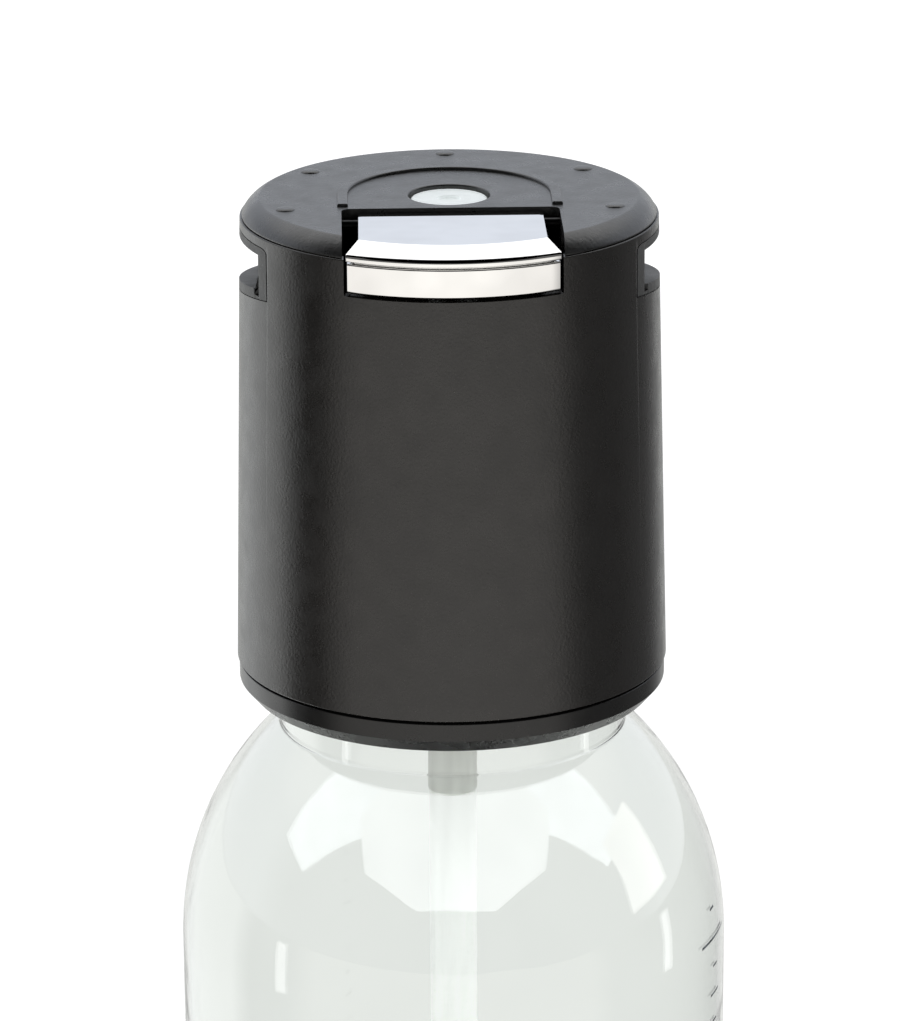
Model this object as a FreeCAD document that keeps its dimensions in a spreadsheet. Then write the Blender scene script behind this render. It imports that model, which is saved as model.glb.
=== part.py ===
import FreeCAD, Part
import os
import re
import Sketcher

# Carbonation bottle with a screw-on gas infuser.  Millimetres, +Z up, lever towards -Y, origin on
# the floor under the bottle's axis.  Infuser heights are counted from the seam between its shell
# and its base ring.

DIMENSIONS = {
    "bottle": [
        ("bottle_height", 240, "floor to the neck's rim"),
        ("body_radius", 45, "outside of the body"),
        ("bottle_wall", 1, "wall of body and shoulder"),
        ("shoulder_depth", 61.9, "rim down to the full width"),
        ("shoulder_rise", 48.4, "vertical half axis of the shoulder's ellipse"),
        ("neck_radius", 27, "outside of the neck at the thread's root"),
        ("neck_wall", 2.2, "wall of the neck"),
        ("collar_depth", 16, "rim down to the neck's thicker collar"),
        ("thread_pitch", 4.5, "rise of the thread in one turn"),
        ("thread_turns", 1.25, "length of the thread in turns"),
        ("thread_depth", 1.3, "height of a thread ridge"),
        ("thread_root", 2.2, "width of a ridge at its root"),
        ("thread_crest", 1, "width of a ridge at its crest"),
        ("thread_start", 8.4, "rim down to the start of the neck's thread"),
        ("screw_clearance", 0.3, "radial gap between crest and root"),
    ],
    "base cup": [
        ("cup_height", 34, "height of the base cup"),
        ("cup_wall", 1.4, "wall of the cup"),
        ("cup_floor", 2, "floor of the cup"),
        ("cup_clearance", 0.2, "gap between cup and bottle"),
        ("dome_depth", 20, "depth of the bottle's rounded bottom"),
        ("cup_seat_radius", 30, "ring that carries the bottle"),
        ("cup_seat_width", 2, "width of that ring"),
    ],
    "dip tube": [
        ("holder_radius", 4.05, "sleeve that holds the dip tube"),
        ("holder_depth", 24.2, "seam down to the sleeve's end"),
        ("holder_flange_radius", 6, "flange under the socket's roof"),
        ("holder_flange", 1.8, "thickness of that flange"),
        ("gas_bore", 1.5, "gas passage"),
        ("spigot_radius", 3, "sleeve's spigots, up and down"),
        ("spigot_length", 5.5, "spigot in the valve body"),
        ("plug_length", 10, "spigot in the dip tube"),
        ("tube_radius", 3.9, "outside of the dip tube"),
        ("tube_depth", 150, "seam down to the dip tube's end"),
        ("running_gap", 0.05, "radial clearance of a moving fit"),
        ("contact_gap", 0.1, "gap between faces that part when unscrewed"),
    ],
    "shell and base ring": [
        ("seam_depth", 13, "rim down to the seam of shell and ring"),
        ("shell_radius", 35, "shell at the seam"),
        ("shell_top_radius", 33.35, "shell at its top"),
        ("shell_height", 73.6, "seam up to the cover's seam"),
        ("shell_wall", 2, "wall of the shell"),
        ("seam_gap", 0.15, "visible gap between mouldings"),
        ("ring_radius", 34.7, "base ring"),
        ("ring_gap", 0.45, "shadow gap above the base ring"),
        ("ring_face", 3.34, "seam down to the ring's bevel"),
        ("ring_height", 5.61, "seam down to the ring's foot"),
        ("ring_foot_radius", 32.74, "foot of the bevel"),
        ("ring_opening", 29.2, "opening round the bottle's neck"),
        ("ring_spigot", 5, "height of the spigot in the shell"),
        ("ring_spigot_wall", 1.4, "wall of that spigot"),
        ("pillar_circle", 28.6, "radius of the four screw pillars' circle"),
        ("pillar_radius", 3.2, "screw pillar or boss"),
        ("pillar_foot", 20, "seam up to the pillars' feet"),
        ("rib_width", 2, "rib from pillar to wall"),
    ],
    "side rails": [
        ("rail_lip", 1.4, "cut-out's inner edge to the bottom of the groove"),
        ("rail_floor", 30.3, "bottom of the groove, from the middle"),
        ("rail_wall", 1.4, "wall behind the groove"),
        ("rail_top", 72.15, "top of the cut-out"),
        ("rail_flange", 1.45, "flange over the groove"),
        ("shelf_level", 63.3, "shelf's top at mid length"),
        ("shelf_slope", 0.128, "rise of the shelf towards the lever, per mm"),
        ("shelf_thickness", 1.7, "thickness of the shelf"),
        ("notch_length", 1.3, "notch at the shelf's front end"),
        ("deck_level", 57, "underside of the frame's deck"),
        ("deck_thickness", 2.5, "thickness of the deck"),
        ("deck_gap", 0.3, "gap between deck and shell"),
    ],
    "top cover": [
        ("cover_height", 76.5, "seam up to the flat top"),
        ("cover_plate", 2, "thickness of the top"),
        ("cover_flat_radius", 30.2, "edge of the flat top"),
        ("cover_edge_radius", 33, "foot of the rim's bevel"),
        ("cover_edge_height", 73.9, "seam up to the bevel's foot"),
        ("cover_bow", 0.35, "how far the bevel bows out"),
        ("cover_spigot", 1.2, "depth of the cover's spigot in the shell"),
        ("cover_spigot_wall", 1.2, "wall of that spigot"),
        ("inlet_hole", 6.48, "hole over the gas inlet"),
        ("collar_wall", 1.4, "collar round the valve body's head"),
        ("collar_length", 2.5, "depth of that collar"),
        ("slot_width", 34.3, "lever slot in the cover"),
        ("slot_back", 8.5, "middle to the slot's back edge"),
        ("slot_inset", 0.2, "how much narrower the shell's slot is, each side"),
        ("slot_floor", 67.85, "seam up to the slot's lower edge"),
        ("arch_radius", 17.8, "outside of the raised arch"),
        ("arch_width", 1.7, "width of the arch"),
        ("arch_height", 0.45, "height of the arch"),
        ("arch_leg", 7, "length of its straight ends"),
        ("pip_circle", 27.3, "circle of the locating pips"),
        ("pip_radius", 1.6, "foot of a pip"),
        ("pip_height", 0.3, "height of a pip"),
        ("boss_circle", 22, "circle of the cover's screw bosses"),
    ],
    "socket and valves": [
        ("socket_wall", 2.2, "wall of the threaded socket"),
        ("socket_foot", 0.6, "seam up to the socket's lower edge"),
        ("socket_roof", 2.5, "thickness of its roof"),
        ("gasket_thickness", 1.5, "sealing ring on the rim"),
        ("gasket_inner", 23.5, "its inner radius"),
        ("stub_radius", 4, "valve body's stub in the roof"),
        ("stub_gap", 0.2, "gap round that stub"),
        ("stem_tube_radius", 6.2, "valve body below its head"),
        ("head_radius", 9, "valve body's head"),
        ("head_foot", 44, "seam up to the head"),
        ("head_top", 73, "seam up to the head's top"),
        ("foot_flange_radius", 11, "flange screwed to the socket"),
        ("flange_thickness", 3, "both flanges of the valve body"),
        ("top_flange_radius", 11.6, "flange under the deck"),
        ("foot_boss", 5, "height of the socket's screw bosses"),
        ("foot_boss_radius", 2.2, "radius of those bosses"),
        ("foot_circle", 8.7, "circle of those bosses"),
        ("chimney_radius", 4.2, "vent and relief ports on the roof"),
        ("chimney_height", 4, "height of those ports"),
        ("vent_offset", 15, "middle to the vent, towards the lever"),
        ("vent_bore", 1.6, "bore of the vent port"),
        ("relief_offset", 17, "middle to the relief valve, to the back"),
        ("relief_bore", 1.5, "bore of the relief port"),
    ],
    "check valve and inlet": [
        ("check_floor", 30, "seam up to the check valve's chamber"),
        ("check_roof", 40.3, "seam up to its seat"),
        ("check_chamber", 4, "radius of the chamber"),
        ("check_radius", 3.6, "check valve's poppet"),
        ("check_length", 3, "length of that poppet"),
        ("check_gap", 0.3, "gap under the seat"),
        ("seat_bore", 1.8, "bore of the seat"),
        ("drain_floor", 46, "seam up to the space under the stem guide"),
        ("drain_radius", 4.5, "radius of that space"),
        ("guide_floor", 55, "seam up to the stem guide"),
        ("guide_top", 58, "seam up to the inlet spring's seat"),
        ("button_radius", 6.1, "inlet button"),
        ("button_bore", 6.4, "bore of the head round the button"),
        ("button_recess", 0.56, "button's top below the cover's"),
        ("button_length", 5.4, "length of the button's head"),
        ("button_stem", 2.5, "button's stem"),
        ("button_stem_length", 14.5, "length of the stem"),
    ],
    "vent and relief parts": [
        ("vent_seat_height", 1, "rubber seat of the vent"),
        ("vent_disc", 3.4, "radius of the vent's disc"),
        ("vent_disc_height", 1.9, "thickness of the disc"),
        ("vent_stem", 1.5, "vent rod"),
        ("vent_collar_level", 44, "seam up to the rod's spring collar"),
        ("vent_collar", 3.2, "radius of that collar"),
        ("vent_collar_height", 1.8, "thickness of that collar"),
        ("vent_neck_level", 62, "seam up to the rod's thin end"),
        ("vent_neck", 1, "radius of the thin end"),
        ("vent_head", 1.9, "button head in the lever's fork"),
        ("vent_head_height", 1.2, "thickness of that head"),
        ("relief_disc", 2.6, "relief poppet"),
        ("relief_disc_height", 1.5, "thickness of its disc"),
        ("relief_stem", 1, "stem of the relief poppet"),
        ("relief_stem_length", 10.5, "length of that stem"),
        ("relief_cap_height", 12, "height of the relief valve's cap"),
        ("relief_cap_wall", 1, "wall of that cap"),
        ("relief_cap_roof", 2, "roof of that cap"),
    ],
    "lever": [
        ("lever_level", 75.85, "seam up to the lever's flat top"),
        ("lever_plate", 1.2, "thickness of the lever"),
        ("lever_gap", 2.55, "flat top to the slot, each side"),
        ("lip_gap", 0.55, "lip to the slot, each side"),
        ("lever_back", 9.2, "middle to the lever's back edge"),
        ("ridge_radius", 29, "ridge between top and slope"),
        ("lip_radius", 33.4, "front of the lip"),
        ("lip_level", 74.4, "seam up to the lip's edge"),
        ("lip_foot", 73.3, "seam up to the lip's underside"),
        ("skirt_radius", 31.6, "front wall behind the apron"),
        ("skirt_wall", 1.1, "thickness of that wall"),
        ("skirt_foot", 69.2, "seam up to its lower edge"),
        ("apron_radius", 33.2, "front of the apron"),
        ("apron_gap", 0.75, "apron to the slot, each side"),
        ("apron_top", 73, "seam up to the apron's top"),
        ("apron_foot", 68.25, "seam up to the apron's lower edge"),
        ("cheek_wall", 1.2, "side walls of the lever"),
        ("cheek_foot", 71.5, "seam up to their lower edges"),
        ("pin_offset", 11.2, "middle to the hinge pin"),
        ("pin_drop", 1.25, "lever's top down to the pin's axis"),
        ("pin_radius", 0.75, "hinge pin"),
        ("pin_seat", 1.45, "hinge pin in each lug"),
        ("lug_width", 2.25, "lugs of the cover that hold the pin"),
        ("lug_foot", 71, "seam up to the lugs' lower edges"),
        ("fork_level", 70.7, "seam up to the fork's top"),
        ("fork_thickness", 1.1, "thickness of the fork"),
        ("fork_width", 8.4, "width of the fork"),
        ("fork_slot", 2.7, "slot of the fork"),
        ("fork_web", 1, "webs between fork and lever"),
        ("fork_reach", 2.3, "fork before and behind the rod's axis"),
        ("fork_gap", 0.3, "fork's top to the rod's head"),
    ],
    "springs and screws": [
        ("check_spring_radius", 3, "middle of the check spring's wire"),
        ("inlet_spring_radius", 4.4, "middle of the inlet spring's wire"),
        ("vent_spring_radius", 2.5, "middle of the vent spring's wire"),
        ("relief_spring_radius", 1.8, "middle of the relief spring's wire"),
        ("thin_wire", 0.25, "radius of the relief and check springs' wire"),
        ("thick_wire", 0.4, "radius of the inlet and vent springs' wire"),
        ("screw_radius", 1.25, "thread of the small screws"),
        ("screw_head_radius", 2.1, "head of the small screws"),
        ("screw_head", 1.8, "height of the head"),
        ("screw_grip", 12, "length of the frame's and cover's screws"),
        ("foot_screw_grip", 7, "length of the socket's screws"),
        ("screw_pass", 0.25, "gap round a screw in its through hole"),
    ],
}

NAMES = {name for rows in DIMENSIONS.values() for name, value, note in rows}
VECTOR = FreeCAD.Vector

doc = FreeCAD.newDocument("carbonator")
sheet = doc.addObject("Spreadsheet::Sheet", "dims")
row = 1
for section, rows in DIMENSIONS.items():
    sheet.set("A%d" % row, section)
    row += 1
    for name, value, note in rows:
        sheet.set("A%d" % row, name)
        sheet.set("B%d" % row, str(value))
        sheet.set("C%d" % row, note)
        sheet.setAlias("B%d" % row, name)
        row += 1
doc.recompute()


# ---------------------------------------------------------------- binding and building helpers
def bound(text):
    """The expression with each dimension's name pointing at its cell."""
    return re.sub(r"[a-z][a-z_]+", lambda word: "dims." + word[0] if word[0] in NAMES else word[0], text)


def bind(thing, **sizes):
    """Bind properties of an object to expressions."""
    for name, text in sizes.items():
        thing.setExpression(name, bound(text))
    return thing


def place(thing, x="0", y="0", z="0", turn=None):
    """Bind an object's position, after an optional turn."""
    if turn:
        thing.Placement = FreeCAD.Placement(VECTOR(), turn)
    for axis, text in zip("xyz", (x, y, z)):
        thing.setExpression("Placement.Base." + axis, bound(text))
    return thing


def primitive(kind, at, sizes, turn=None):
    """A Part primitive with bound sizes at a bound place."""
    return place(bind(doc.addObject("Part::" + kind, kind), **sizes), *at, turn=turn)


def rod(radius, low, high, x="0", y="0"):
    """An upright cylinder between two heights."""
    return primitive("Cylinder", (x, y, low), {"Radius": radius, "Height": "(%s) - (%s)" % (high, low)})


def cross_rod(radius, length, y, z):
    """A cylinder along X, centred on the middle plane."""
    return primitive("Cylinder", ("-(%s) / 2" % length, y, z), {"Radius": radius, "Height": length},
                     FreeCAD.Rotation(VECTOR(0, 1, 0), 90))


def block(low, high):
    """A box between two corners."""
    size = ["(%s) - (%s)" % (top, bottom) for bottom, top in zip(low, high)]
    return primitive("Box", low, dict(zip(("Length", "Width", "Height"), size)))


def half_ellipsoid(rise, radius, z, upper):
    """Half of an ellipsoid of revolution about the axis."""
    half = primitive("Ellipsoid", ("0", "0", z), {"Radius1": rise, "Radius2": radius, "Radius3": radius})
    half.Angle1, half.Angle2 = (0, 90) if upper else (-90, 0)
    return half


def fuse(*things, refine=True):
    """One solid from several that touch."""
    joined = doc.addObject("Part::MultiFuse", "Fuse")
    joined.Shapes = list(things)
    joined.Refine = refine
    return joined


def cut(base, *tools):
    """The base without the tools."""
    result = doc.addObject("Part::Cut", "Cut")
    result.Base = base
    result.Tool = tools[0] if len(tools) == 1 else fuse(*tools)
    return result


def common(first, second):
    """What two solids share."""
    result = doc.addObject("Part::MultiCommon", "Common")
    result.Shapes = [first, second]
    return result


def outline(sketch, points):
    """A closed polygon whose corners are bound to expressions; a corner at 0 lies on the axis."""
    count = len(points)
    for index in range(count):
        start, end = VECTOR(index + 1, index * index, 0), VECTOR(index + 2, (index + 1) ** 2, 0)
        sketch.addGeometry(Part.LineSegment(start, end))
    for index in range(count):
        sketch.addConstraint(Sketcher.Constraint("Coincident", index, 2, (index + 1) % count, 1))
    for index, corner in enumerate(points):
        for kind, axis, text in zip(("DistanceX", "DistanceY"), (-2, -1), corner):
            if text == "0":
                sketch.addConstraint(Sketcher.Constraint("PointOnObject", index, 1, axis))
            else:
                place_in_list = sketch.addConstraint(Sketcher.Constraint(kind, -1, 1, index, 1, 1.0))
                sketch.setExpression("Constraints[%d]" % place_in_list, bound(text))


def body_sketch(plane, points):
    """A new body with a sketch on one of its origin planes."""
    body = doc.addObject("PartDesign::Body", "Body")
    sketch = body.newObject("Sketcher::SketchObject", "Sketch")
    face = [feature for feature in body.Origin.OriginFeatures if feature.Role == plane][0]
    sketch.AttachmentSupport = (face, [""])
    sketch.MapMode = "FlatFace"
    outline(sketch, points)
    return body, sketch


def turned(points, x="0", y="0"):
    """A body turned about an upright axis from (radius, height) corners."""
    body, sketch = body_sketch("XZ_Plane", points)
    revolution = body.newObject("PartDesign::Revolution", "Revolution")
    revolution.Profile = sketch
    revolution.ReferenceAxis = (sketch, ["V_Axis"])
    revolution.Angle = 360
    return place(body, x, y)


def prism(points, low, high):
    """A body padded up between two heights from (x, y) corners."""
    body, sketch = body_sketch("XY_Plane", points)
    pad = body.newObject("PartDesign::Pad", "Pad")
    pad.Profile = sketch
    bind(pad, Length="(%s) - (%s)" % (high, low))
    return place(body, z=low)


def swept(radius, pitch, rise, z, section, x="0", y="0", span=0):
    """A section swept along a right-hand helix that starts on +X, one face per span of turns if given."""
    helix = primitive("Helix", (x, y, z), {"Radius": radius, "Pitch": pitch, "Height": rise})
    helix.SegmentLength = span
    sweep = doc.addObject("Part::Sweep", "Sweep")
    sweep.Sections = [section]
    sweep.Spine = (helix, [])
    sweep.Solid = True
    sweep.Frenet = True
    return sweep


def thread(root, crest, z):
    """A thread ridge from its root radius to its crest radius, sunk a little into its wall."""
    inward = "(%s - (%s)) / thread_depth * 0.2" % (crest, root)
    section = doc.addObject("Sketcher::SketchObject", "Section")
    section.Placement = FreeCAD.Placement(VECTOR(), FreeCAD.Rotation(VECTOR(1, 0, 0), 90))
    foot = "%s - %s" % (root, inward)
    outline(section, [(foot, z + " - thread_root / 2"), (crest, z + " - thread_crest / 2"),
                      (crest, z + " + thread_crest / 2"), (foot, z + " + thread_root / 2")])
    return swept(root, "thread_pitch", "thread_pitch * thread_turns", z, section)


def spring(radius, wire, low, high, turns, x="0", y="0"):
    """A compression spring that stands between two faces."""
    start, end = "%s + 1.1 * %s" % (low, wire), "%s - 1.1 * %s" % (high, wire)
    rise = "(%s - (%s))" % (end, start)
    section = primitive("Circle", ("%s + %s" % (x, radius), y, start), {"Radius": wire},
                        FreeCAD.Rotation(VECTOR(1, 0, 0), 90))
    return swept(radius, "%s / %d" % (rise, turns), rise, start, section, x, y, span=0.5)


def screw(length, z, x, y, downwards=True):
    """A round-headed screw whose head's bearing face lies at a height."""
    tip, top = ("- %s" % length, "+ screw_head") if downwards else ("+ %s" % length, "- screw_head")
    low, high = sorted((tip, top), reverse=True)
    shank = rod("screw_radius", *(("%s %s" % (z, tip), z) if downwards else (z, "%s %s" % (z, tip))), x, y)
    head = rod("screw_head_radius", *((z, "%s %s" % (z, top)) if downwards else ("%s %s" % (z, top), z)), x, y)
    return fuse(shank, head)


def group(things):
    """Separate solids kept together in one node."""
    compound = doc.addObject("Part::Compound", "Group")
    compound.Links = list(things)
    return compound


def on_circle(radius, angles):
    """Bound (x, y) places on a circle."""
    return [("%s * cos(%g)" % (radius, angle), "%s * sin(%g)" % (radius, angle)) for angle in angles]


def up(text):
    """A height above the seam between shell and base ring."""
    return "bottle_height - seam_depth + %s" % text


# ---------------------------------------------------------------- heights and radii that are shared
RIM = "bottle_height"
ROOF_UNDER = "bottle_height + contact_gap + gasket_thickness"
ROOF_TOP = ROOF_UNDER + " + socket_roof"
PORT_TOP = ROOF_TOP + " + chimney_height"
VENT_SEAT_TOP = PORT_TOP + " + vent_seat_height"
FLANGE_LOW = ROOF_TOP + " + foot_boss"
FLANGE_TOP = FLANGE_LOW + " + flange_thickness"
SPIGOT_TOP = ROOF_UNDER + " + spigot_length"
DECK_LOW = up("deck_level")
DECK_TOP = DECK_LOW + " + deck_thickness"
COVER_TOP = up("cover_height")
COVER_UNDER = COVER_TOP + " - cover_plate"
SHELL_TOP = up("shell_height")
RAIL_TOP = up("rail_top - seam_gap")
RAIL_FACE = "(rail_floor - rail_lip)"
BUTTON_TOP = COVER_TOP + " - button_recess"
BUTTON_UNDER = BUTTON_TOP + " - button_length"
PIN_Z = up("lever_level - pin_drop")
PIN_LENGTH = "(slot_width + 2 * pin_seat)"
LEVER_SIDE = "(slot_width / 2 - lever_gap)"
LIP_SIDE = "(slot_width / 2 - lip_gap)"
APRON_SIDE = "(slot_width / 2 - apron_gap)"
LEVER_UNDER = up("lever_level - lever_plate")
CHECK_TOP = up("check_roof - check_gap")
CHECK_LOW = CHECK_TOP + " - check_length"
SOCKET_BORE = "(neck_radius + thread_depth + screw_clearance)"
SOCKET_OUTSIDE = SOCKET_BORE + " + socket_wall"
SHELL_INNER_TOP = "(shell_top_radius - shell_wall)"
SHELL_TAPER = "(shell_radius - shell_top_radius) / shell_height"
COLLAR_Z = "bottle_height - collar_depth"
SHOULDER_Z = "bottle_height - shoulder_depth"
DOME_Z = "(cup_floor + cup_clearance + dome_depth)"
CUP_STEP = "(body_radius - cup_wall - cup_clearance)"
PILLARS = on_circle("pillar_circle", (45, 135, 225, 315))
COVER_BOSSES = on_circle("boss_circle", (18, 90, 162))
FOOT_BOSSES = on_circle("foot_circle", (90, 210, 330))
PIP_ANGLES = (-18, 36, 90, 144, 198)


# ---------------------------------------------------------------- bottle and base cup
def bottle():
    """Blown bottle with a stepped foot, an elliptic shoulder and a threaded neck."""
    step_top = "cup_height + cup_clearance"
    outside = fuse(half_ellipsoid("dome_depth", CUP_STEP, DOME_Z, False),
                   rod(CUP_STEP, DOME_Z, step_top),
                   rod("body_radius", step_top, SHOULDER_Z),
                   half_ellipsoid("shoulder_rise", "body_radius", SHOULDER_Z, True),
                   rod("neck_radius + thread_depth", SHOULDER_Z, COLLAR_Z),
                   rod("neck_radius", COLLAR_Z, RIM))
    inside = fuse(half_ellipsoid("dome_depth - bottle_wall", CUP_STEP + " - bottle_wall", DOME_Z, False),
                  rod(CUP_STEP + " - bottle_wall", DOME_Z, step_top + " + bottle_wall"),
                  rod("body_radius - bottle_wall", step_top + " + bottle_wall", SHOULDER_Z),
                  half_ellipsoid("shoulder_rise - bottle_wall", "body_radius - bottle_wall", SHOULDER_Z, True),
                  rod("neck_radius - neck_wall", SHOULDER_Z, RIM + " + bottle_wall"))
    ridge = thread("neck_radius", "neck_radius + thread_depth", RIM + " - thread_start")
    return fuse(cut(outside, inside), ridge, refine=False)


def base_cup():
    """Boot that the rounded bottle stands in, with a ring that carries it."""
    low, high = "cup_seat_radius - cup_seat_width / 2", "cup_seat_radius + cup_seat_width / 2"
    dome = DOME_Z + " - dome_depth * sqrt(1 - ((%s) / %s) ^ 2) - cup_clearance" % (high, CUP_STEP)
    bore = "body_radius - cup_wall"
    return turned([("0", "0"), ("body_radius", "0"), ("body_radius", "cup_height"), (bore, "cup_height"),
                   (bore, "cup_floor"), (high, "cup_floor"), (high, dome + " - cup_clearance"),
                   (low, dome + " - cup_seat_width / 2 - cup_clearance"), (low, "cup_floor"),
                   ("0", "cup_floor")])


# ---------------------------------------------------------------- dip tube
def tube_holder():
    """Sleeve under the socket's roof, with a spigot up into the valve body and one in the tube."""
    low = up("-holder_depth")
    flange_top = ROOF_UNDER + " - contact_gap"
    return turned([("gas_bore", low + " - plug_length"), ("spigot_radius", low + " - plug_length"),
                   ("spigot_radius", low), ("holder_radius", low),
                   ("holder_radius", flange_top + " - holder_flange"),
                   ("holder_flange_radius", flange_top + " - holder_flange"),
                   ("holder_flange_radius", flange_top), ("spigot_radius", flange_top),
                   ("spigot_radius", SPIGOT_TOP), ("gas_bore", SPIGOT_TOP)])


def dip_tube():
    """Straight tube that takes the gas down into the drink."""
    bore = "spigot_radius + running_gap"
    return turned([(bore, up("-tube_depth")), ("tube_radius", up("-tube_depth")),
                   ("tube_radius", up("-holder_depth")), (bore, up("-holder_depth"))])


# ---------------------------------------------------------------- infuser's mouldings
def rail_wedge(side, near, far, level, top):
    """A block on one side of the infuser whose floor slopes like the rail's shelf."""
    xmin, xmax = (near, far) if side > 0 else ("-(%s)" % far, "-(%s)" % near)
    front = "%s + shelf_slope * shell_radius" % level
    back = "%s - shelf_slope * shell_radius" % level
    sizes = {"Xmin": xmin, "Xmax": xmax, "X2min": xmin, "X2max": xmax,
             "Ymin": "-shell_radius", "Ymax": "shell_radius",
             "Zmin": front, "Z2min": back, "Zmax": top, "Z2max": top}
    wedge = doc.addObject("Part::Wedge", "Wedge")
    wedge.Xmin, wedge.Xmax, wedge.X2min, wedge.X2max = -1000, 1000, -1000, 1000
    wedge.Ymin, wedge.Ymax = -1000, 1000
    wedge.Zmin, wedge.Z2min, wedge.Zmax, wedge.Z2max = -1000, -1000, 1000, 1000
    return bind(wedge, **sizes)


def lever_slot(half_width, back):
    """The space that the lever needs, open to the front and the top."""
    return block(("-(%s)" % half_width, "-2 * shell_radius", up("slot_floor")),
                 (half_width, back, COVER_TOP + " + shell_wall"))


def outer_shell():
    """Tapered skirt with the lever's slot, the rails' cut-outs and four screw pillars."""
    floor = up("0")
    skirt = turned([("shell_radius", floor), ("shell_top_radius", SHELL_TOP),
                    (SHELL_INNER_TOP, SHELL_TOP), ("shell_radius - shell_wall", floor)])
    pillars, bores = [], []
    for angle, (x, y) in zip((45, 135, 225, 315), PILLARS):
        pillars.append(rod("pillar_radius", up("pillar_foot"), DECK_LOW, x, y))
        bores.append(rod("screw_radius + running_gap", DECK_LOW + " - screw_grip",
                         DECK_LOW + " + shell_wall", x, y))
        rib = block(("pillar_circle", "-rib_width / 2", up("pillar_foot")),
                    (SHELL_INNER_TOP + " + shell_wall / 2 + " + SHELL_TAPER + " * (shell_height - deck_level)",
                     "rib_width / 2", DECK_LOW))
        pillars.append(turned_block(rib, angle))
    sides = [rail_wedge(side, RAIL_FACE, "2 * shell_radius", up("shelf_level - shelf_thickness"),
                        up("rail_top")) for side in (-1, 1)]
    slot = lever_slot("slot_width / 2 - slot_inset", "0")
    return cut(fuse(skirt, *pillars), slot, *sides, *bores)


def turned_block(thing, angle):
    """A block that starts on the X axis, turned about the infuser's axis."""
    link = doc.addObject("Part::Compound", "Turned")
    link.Links = [thing]
    link.Placement = FreeCAD.Placement(VECTOR(), FreeCAD.Rotation(VECTOR(0, 0, 1), angle))
    return link


def base_ring():
    """Bevelled ring under the shell, with a spigot that snaps into it."""
    top = up("-ring_gap")
    outside = "shell_radius - shell_wall - seam_gap"
    return turned([("ring_opening", up("-ring_height")), ("ring_foot_radius", up("-ring_height")),
                   ("ring_radius", up("-ring_face")), ("ring_radius", top), (outside, top),
                   (outside + " - ring_spigot * " + SHELL_TAPER, up("ring_spigot")),
                   (outside + " - ring_spigot_wall", up("ring_spigot")),
                   (outside + " - ring_spigot_wall", top), ("ring_opening", top)])


def rail_frame():
    """Deck across the shell with a C-shaped rail on each side for the machine's fork."""
    walls, grooves = [], []
    inner = SHELL_INNER_TOP + " - seam_gap"
    edge = RAIL_FACE + " + seam_gap"
    shelf_low = up("shelf_level - shelf_thickness + seam_gap")
    for side in (-1, 1):
        near, far = RAIL_FACE + " - rail_wall", "rail_floor"
        low = (near if side > 0 else "-(%s)" % far, "-shell_radius", DECK_LOW)
        high = (far if side > 0 else "-(%s)" % near, "shell_radius", RAIL_TOP)
        walls.append(common(block(low, high), rod(inner, DECK_LOW, RAIL_TOP)))
        channel = rail_wedge(side, edge, "2 * shell_radius", shelf_low, RAIL_TOP)
        walls.append(common(channel, rod("shell_top_radius", DECK_LOW, RAIL_TOP)))
        grooves.append(rail_wedge(side, "rail_floor", "2 * shell_radius", up("shelf_level"),
                                  up("rail_top - rail_flange")))
        notch = ("rail_floor", "rail_floor + notch_length")
        x_low, x_high = notch if side > 0 else ("-(%s)" % notch[1], "-(%s)" % notch[0])
        grooves.append(block((x_low, "-shell_radius", up("shelf_level + shelf_thickness / 2")),
                             (x_high, "notch_length - sqrt(shell_top_radius ^ 2 - rail_floor ^ 2)",
                              up("rail_top - rail_flange"))))
    deck = rod("shell_radius - shell_wall - %s * (deck_level + deck_thickness) - deck_gap" % SHELL_TAPER,
               DECK_LOW, DECK_TOP)
    holes = [rod("head_radius + deck_gap", DECK_LOW, DECK_TOP),
             rod("vent_stem + running_gap", DECK_LOW, DECK_TOP, y="-vent_offset")]
    holes += [rod("screw_radius + screw_pass", DECK_LOW, DECK_TOP, x, y) for x, y in PILLARS + COVER_BOSSES]
    return cut(fuse(deck, *walls), *grooves, *holes)


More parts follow.
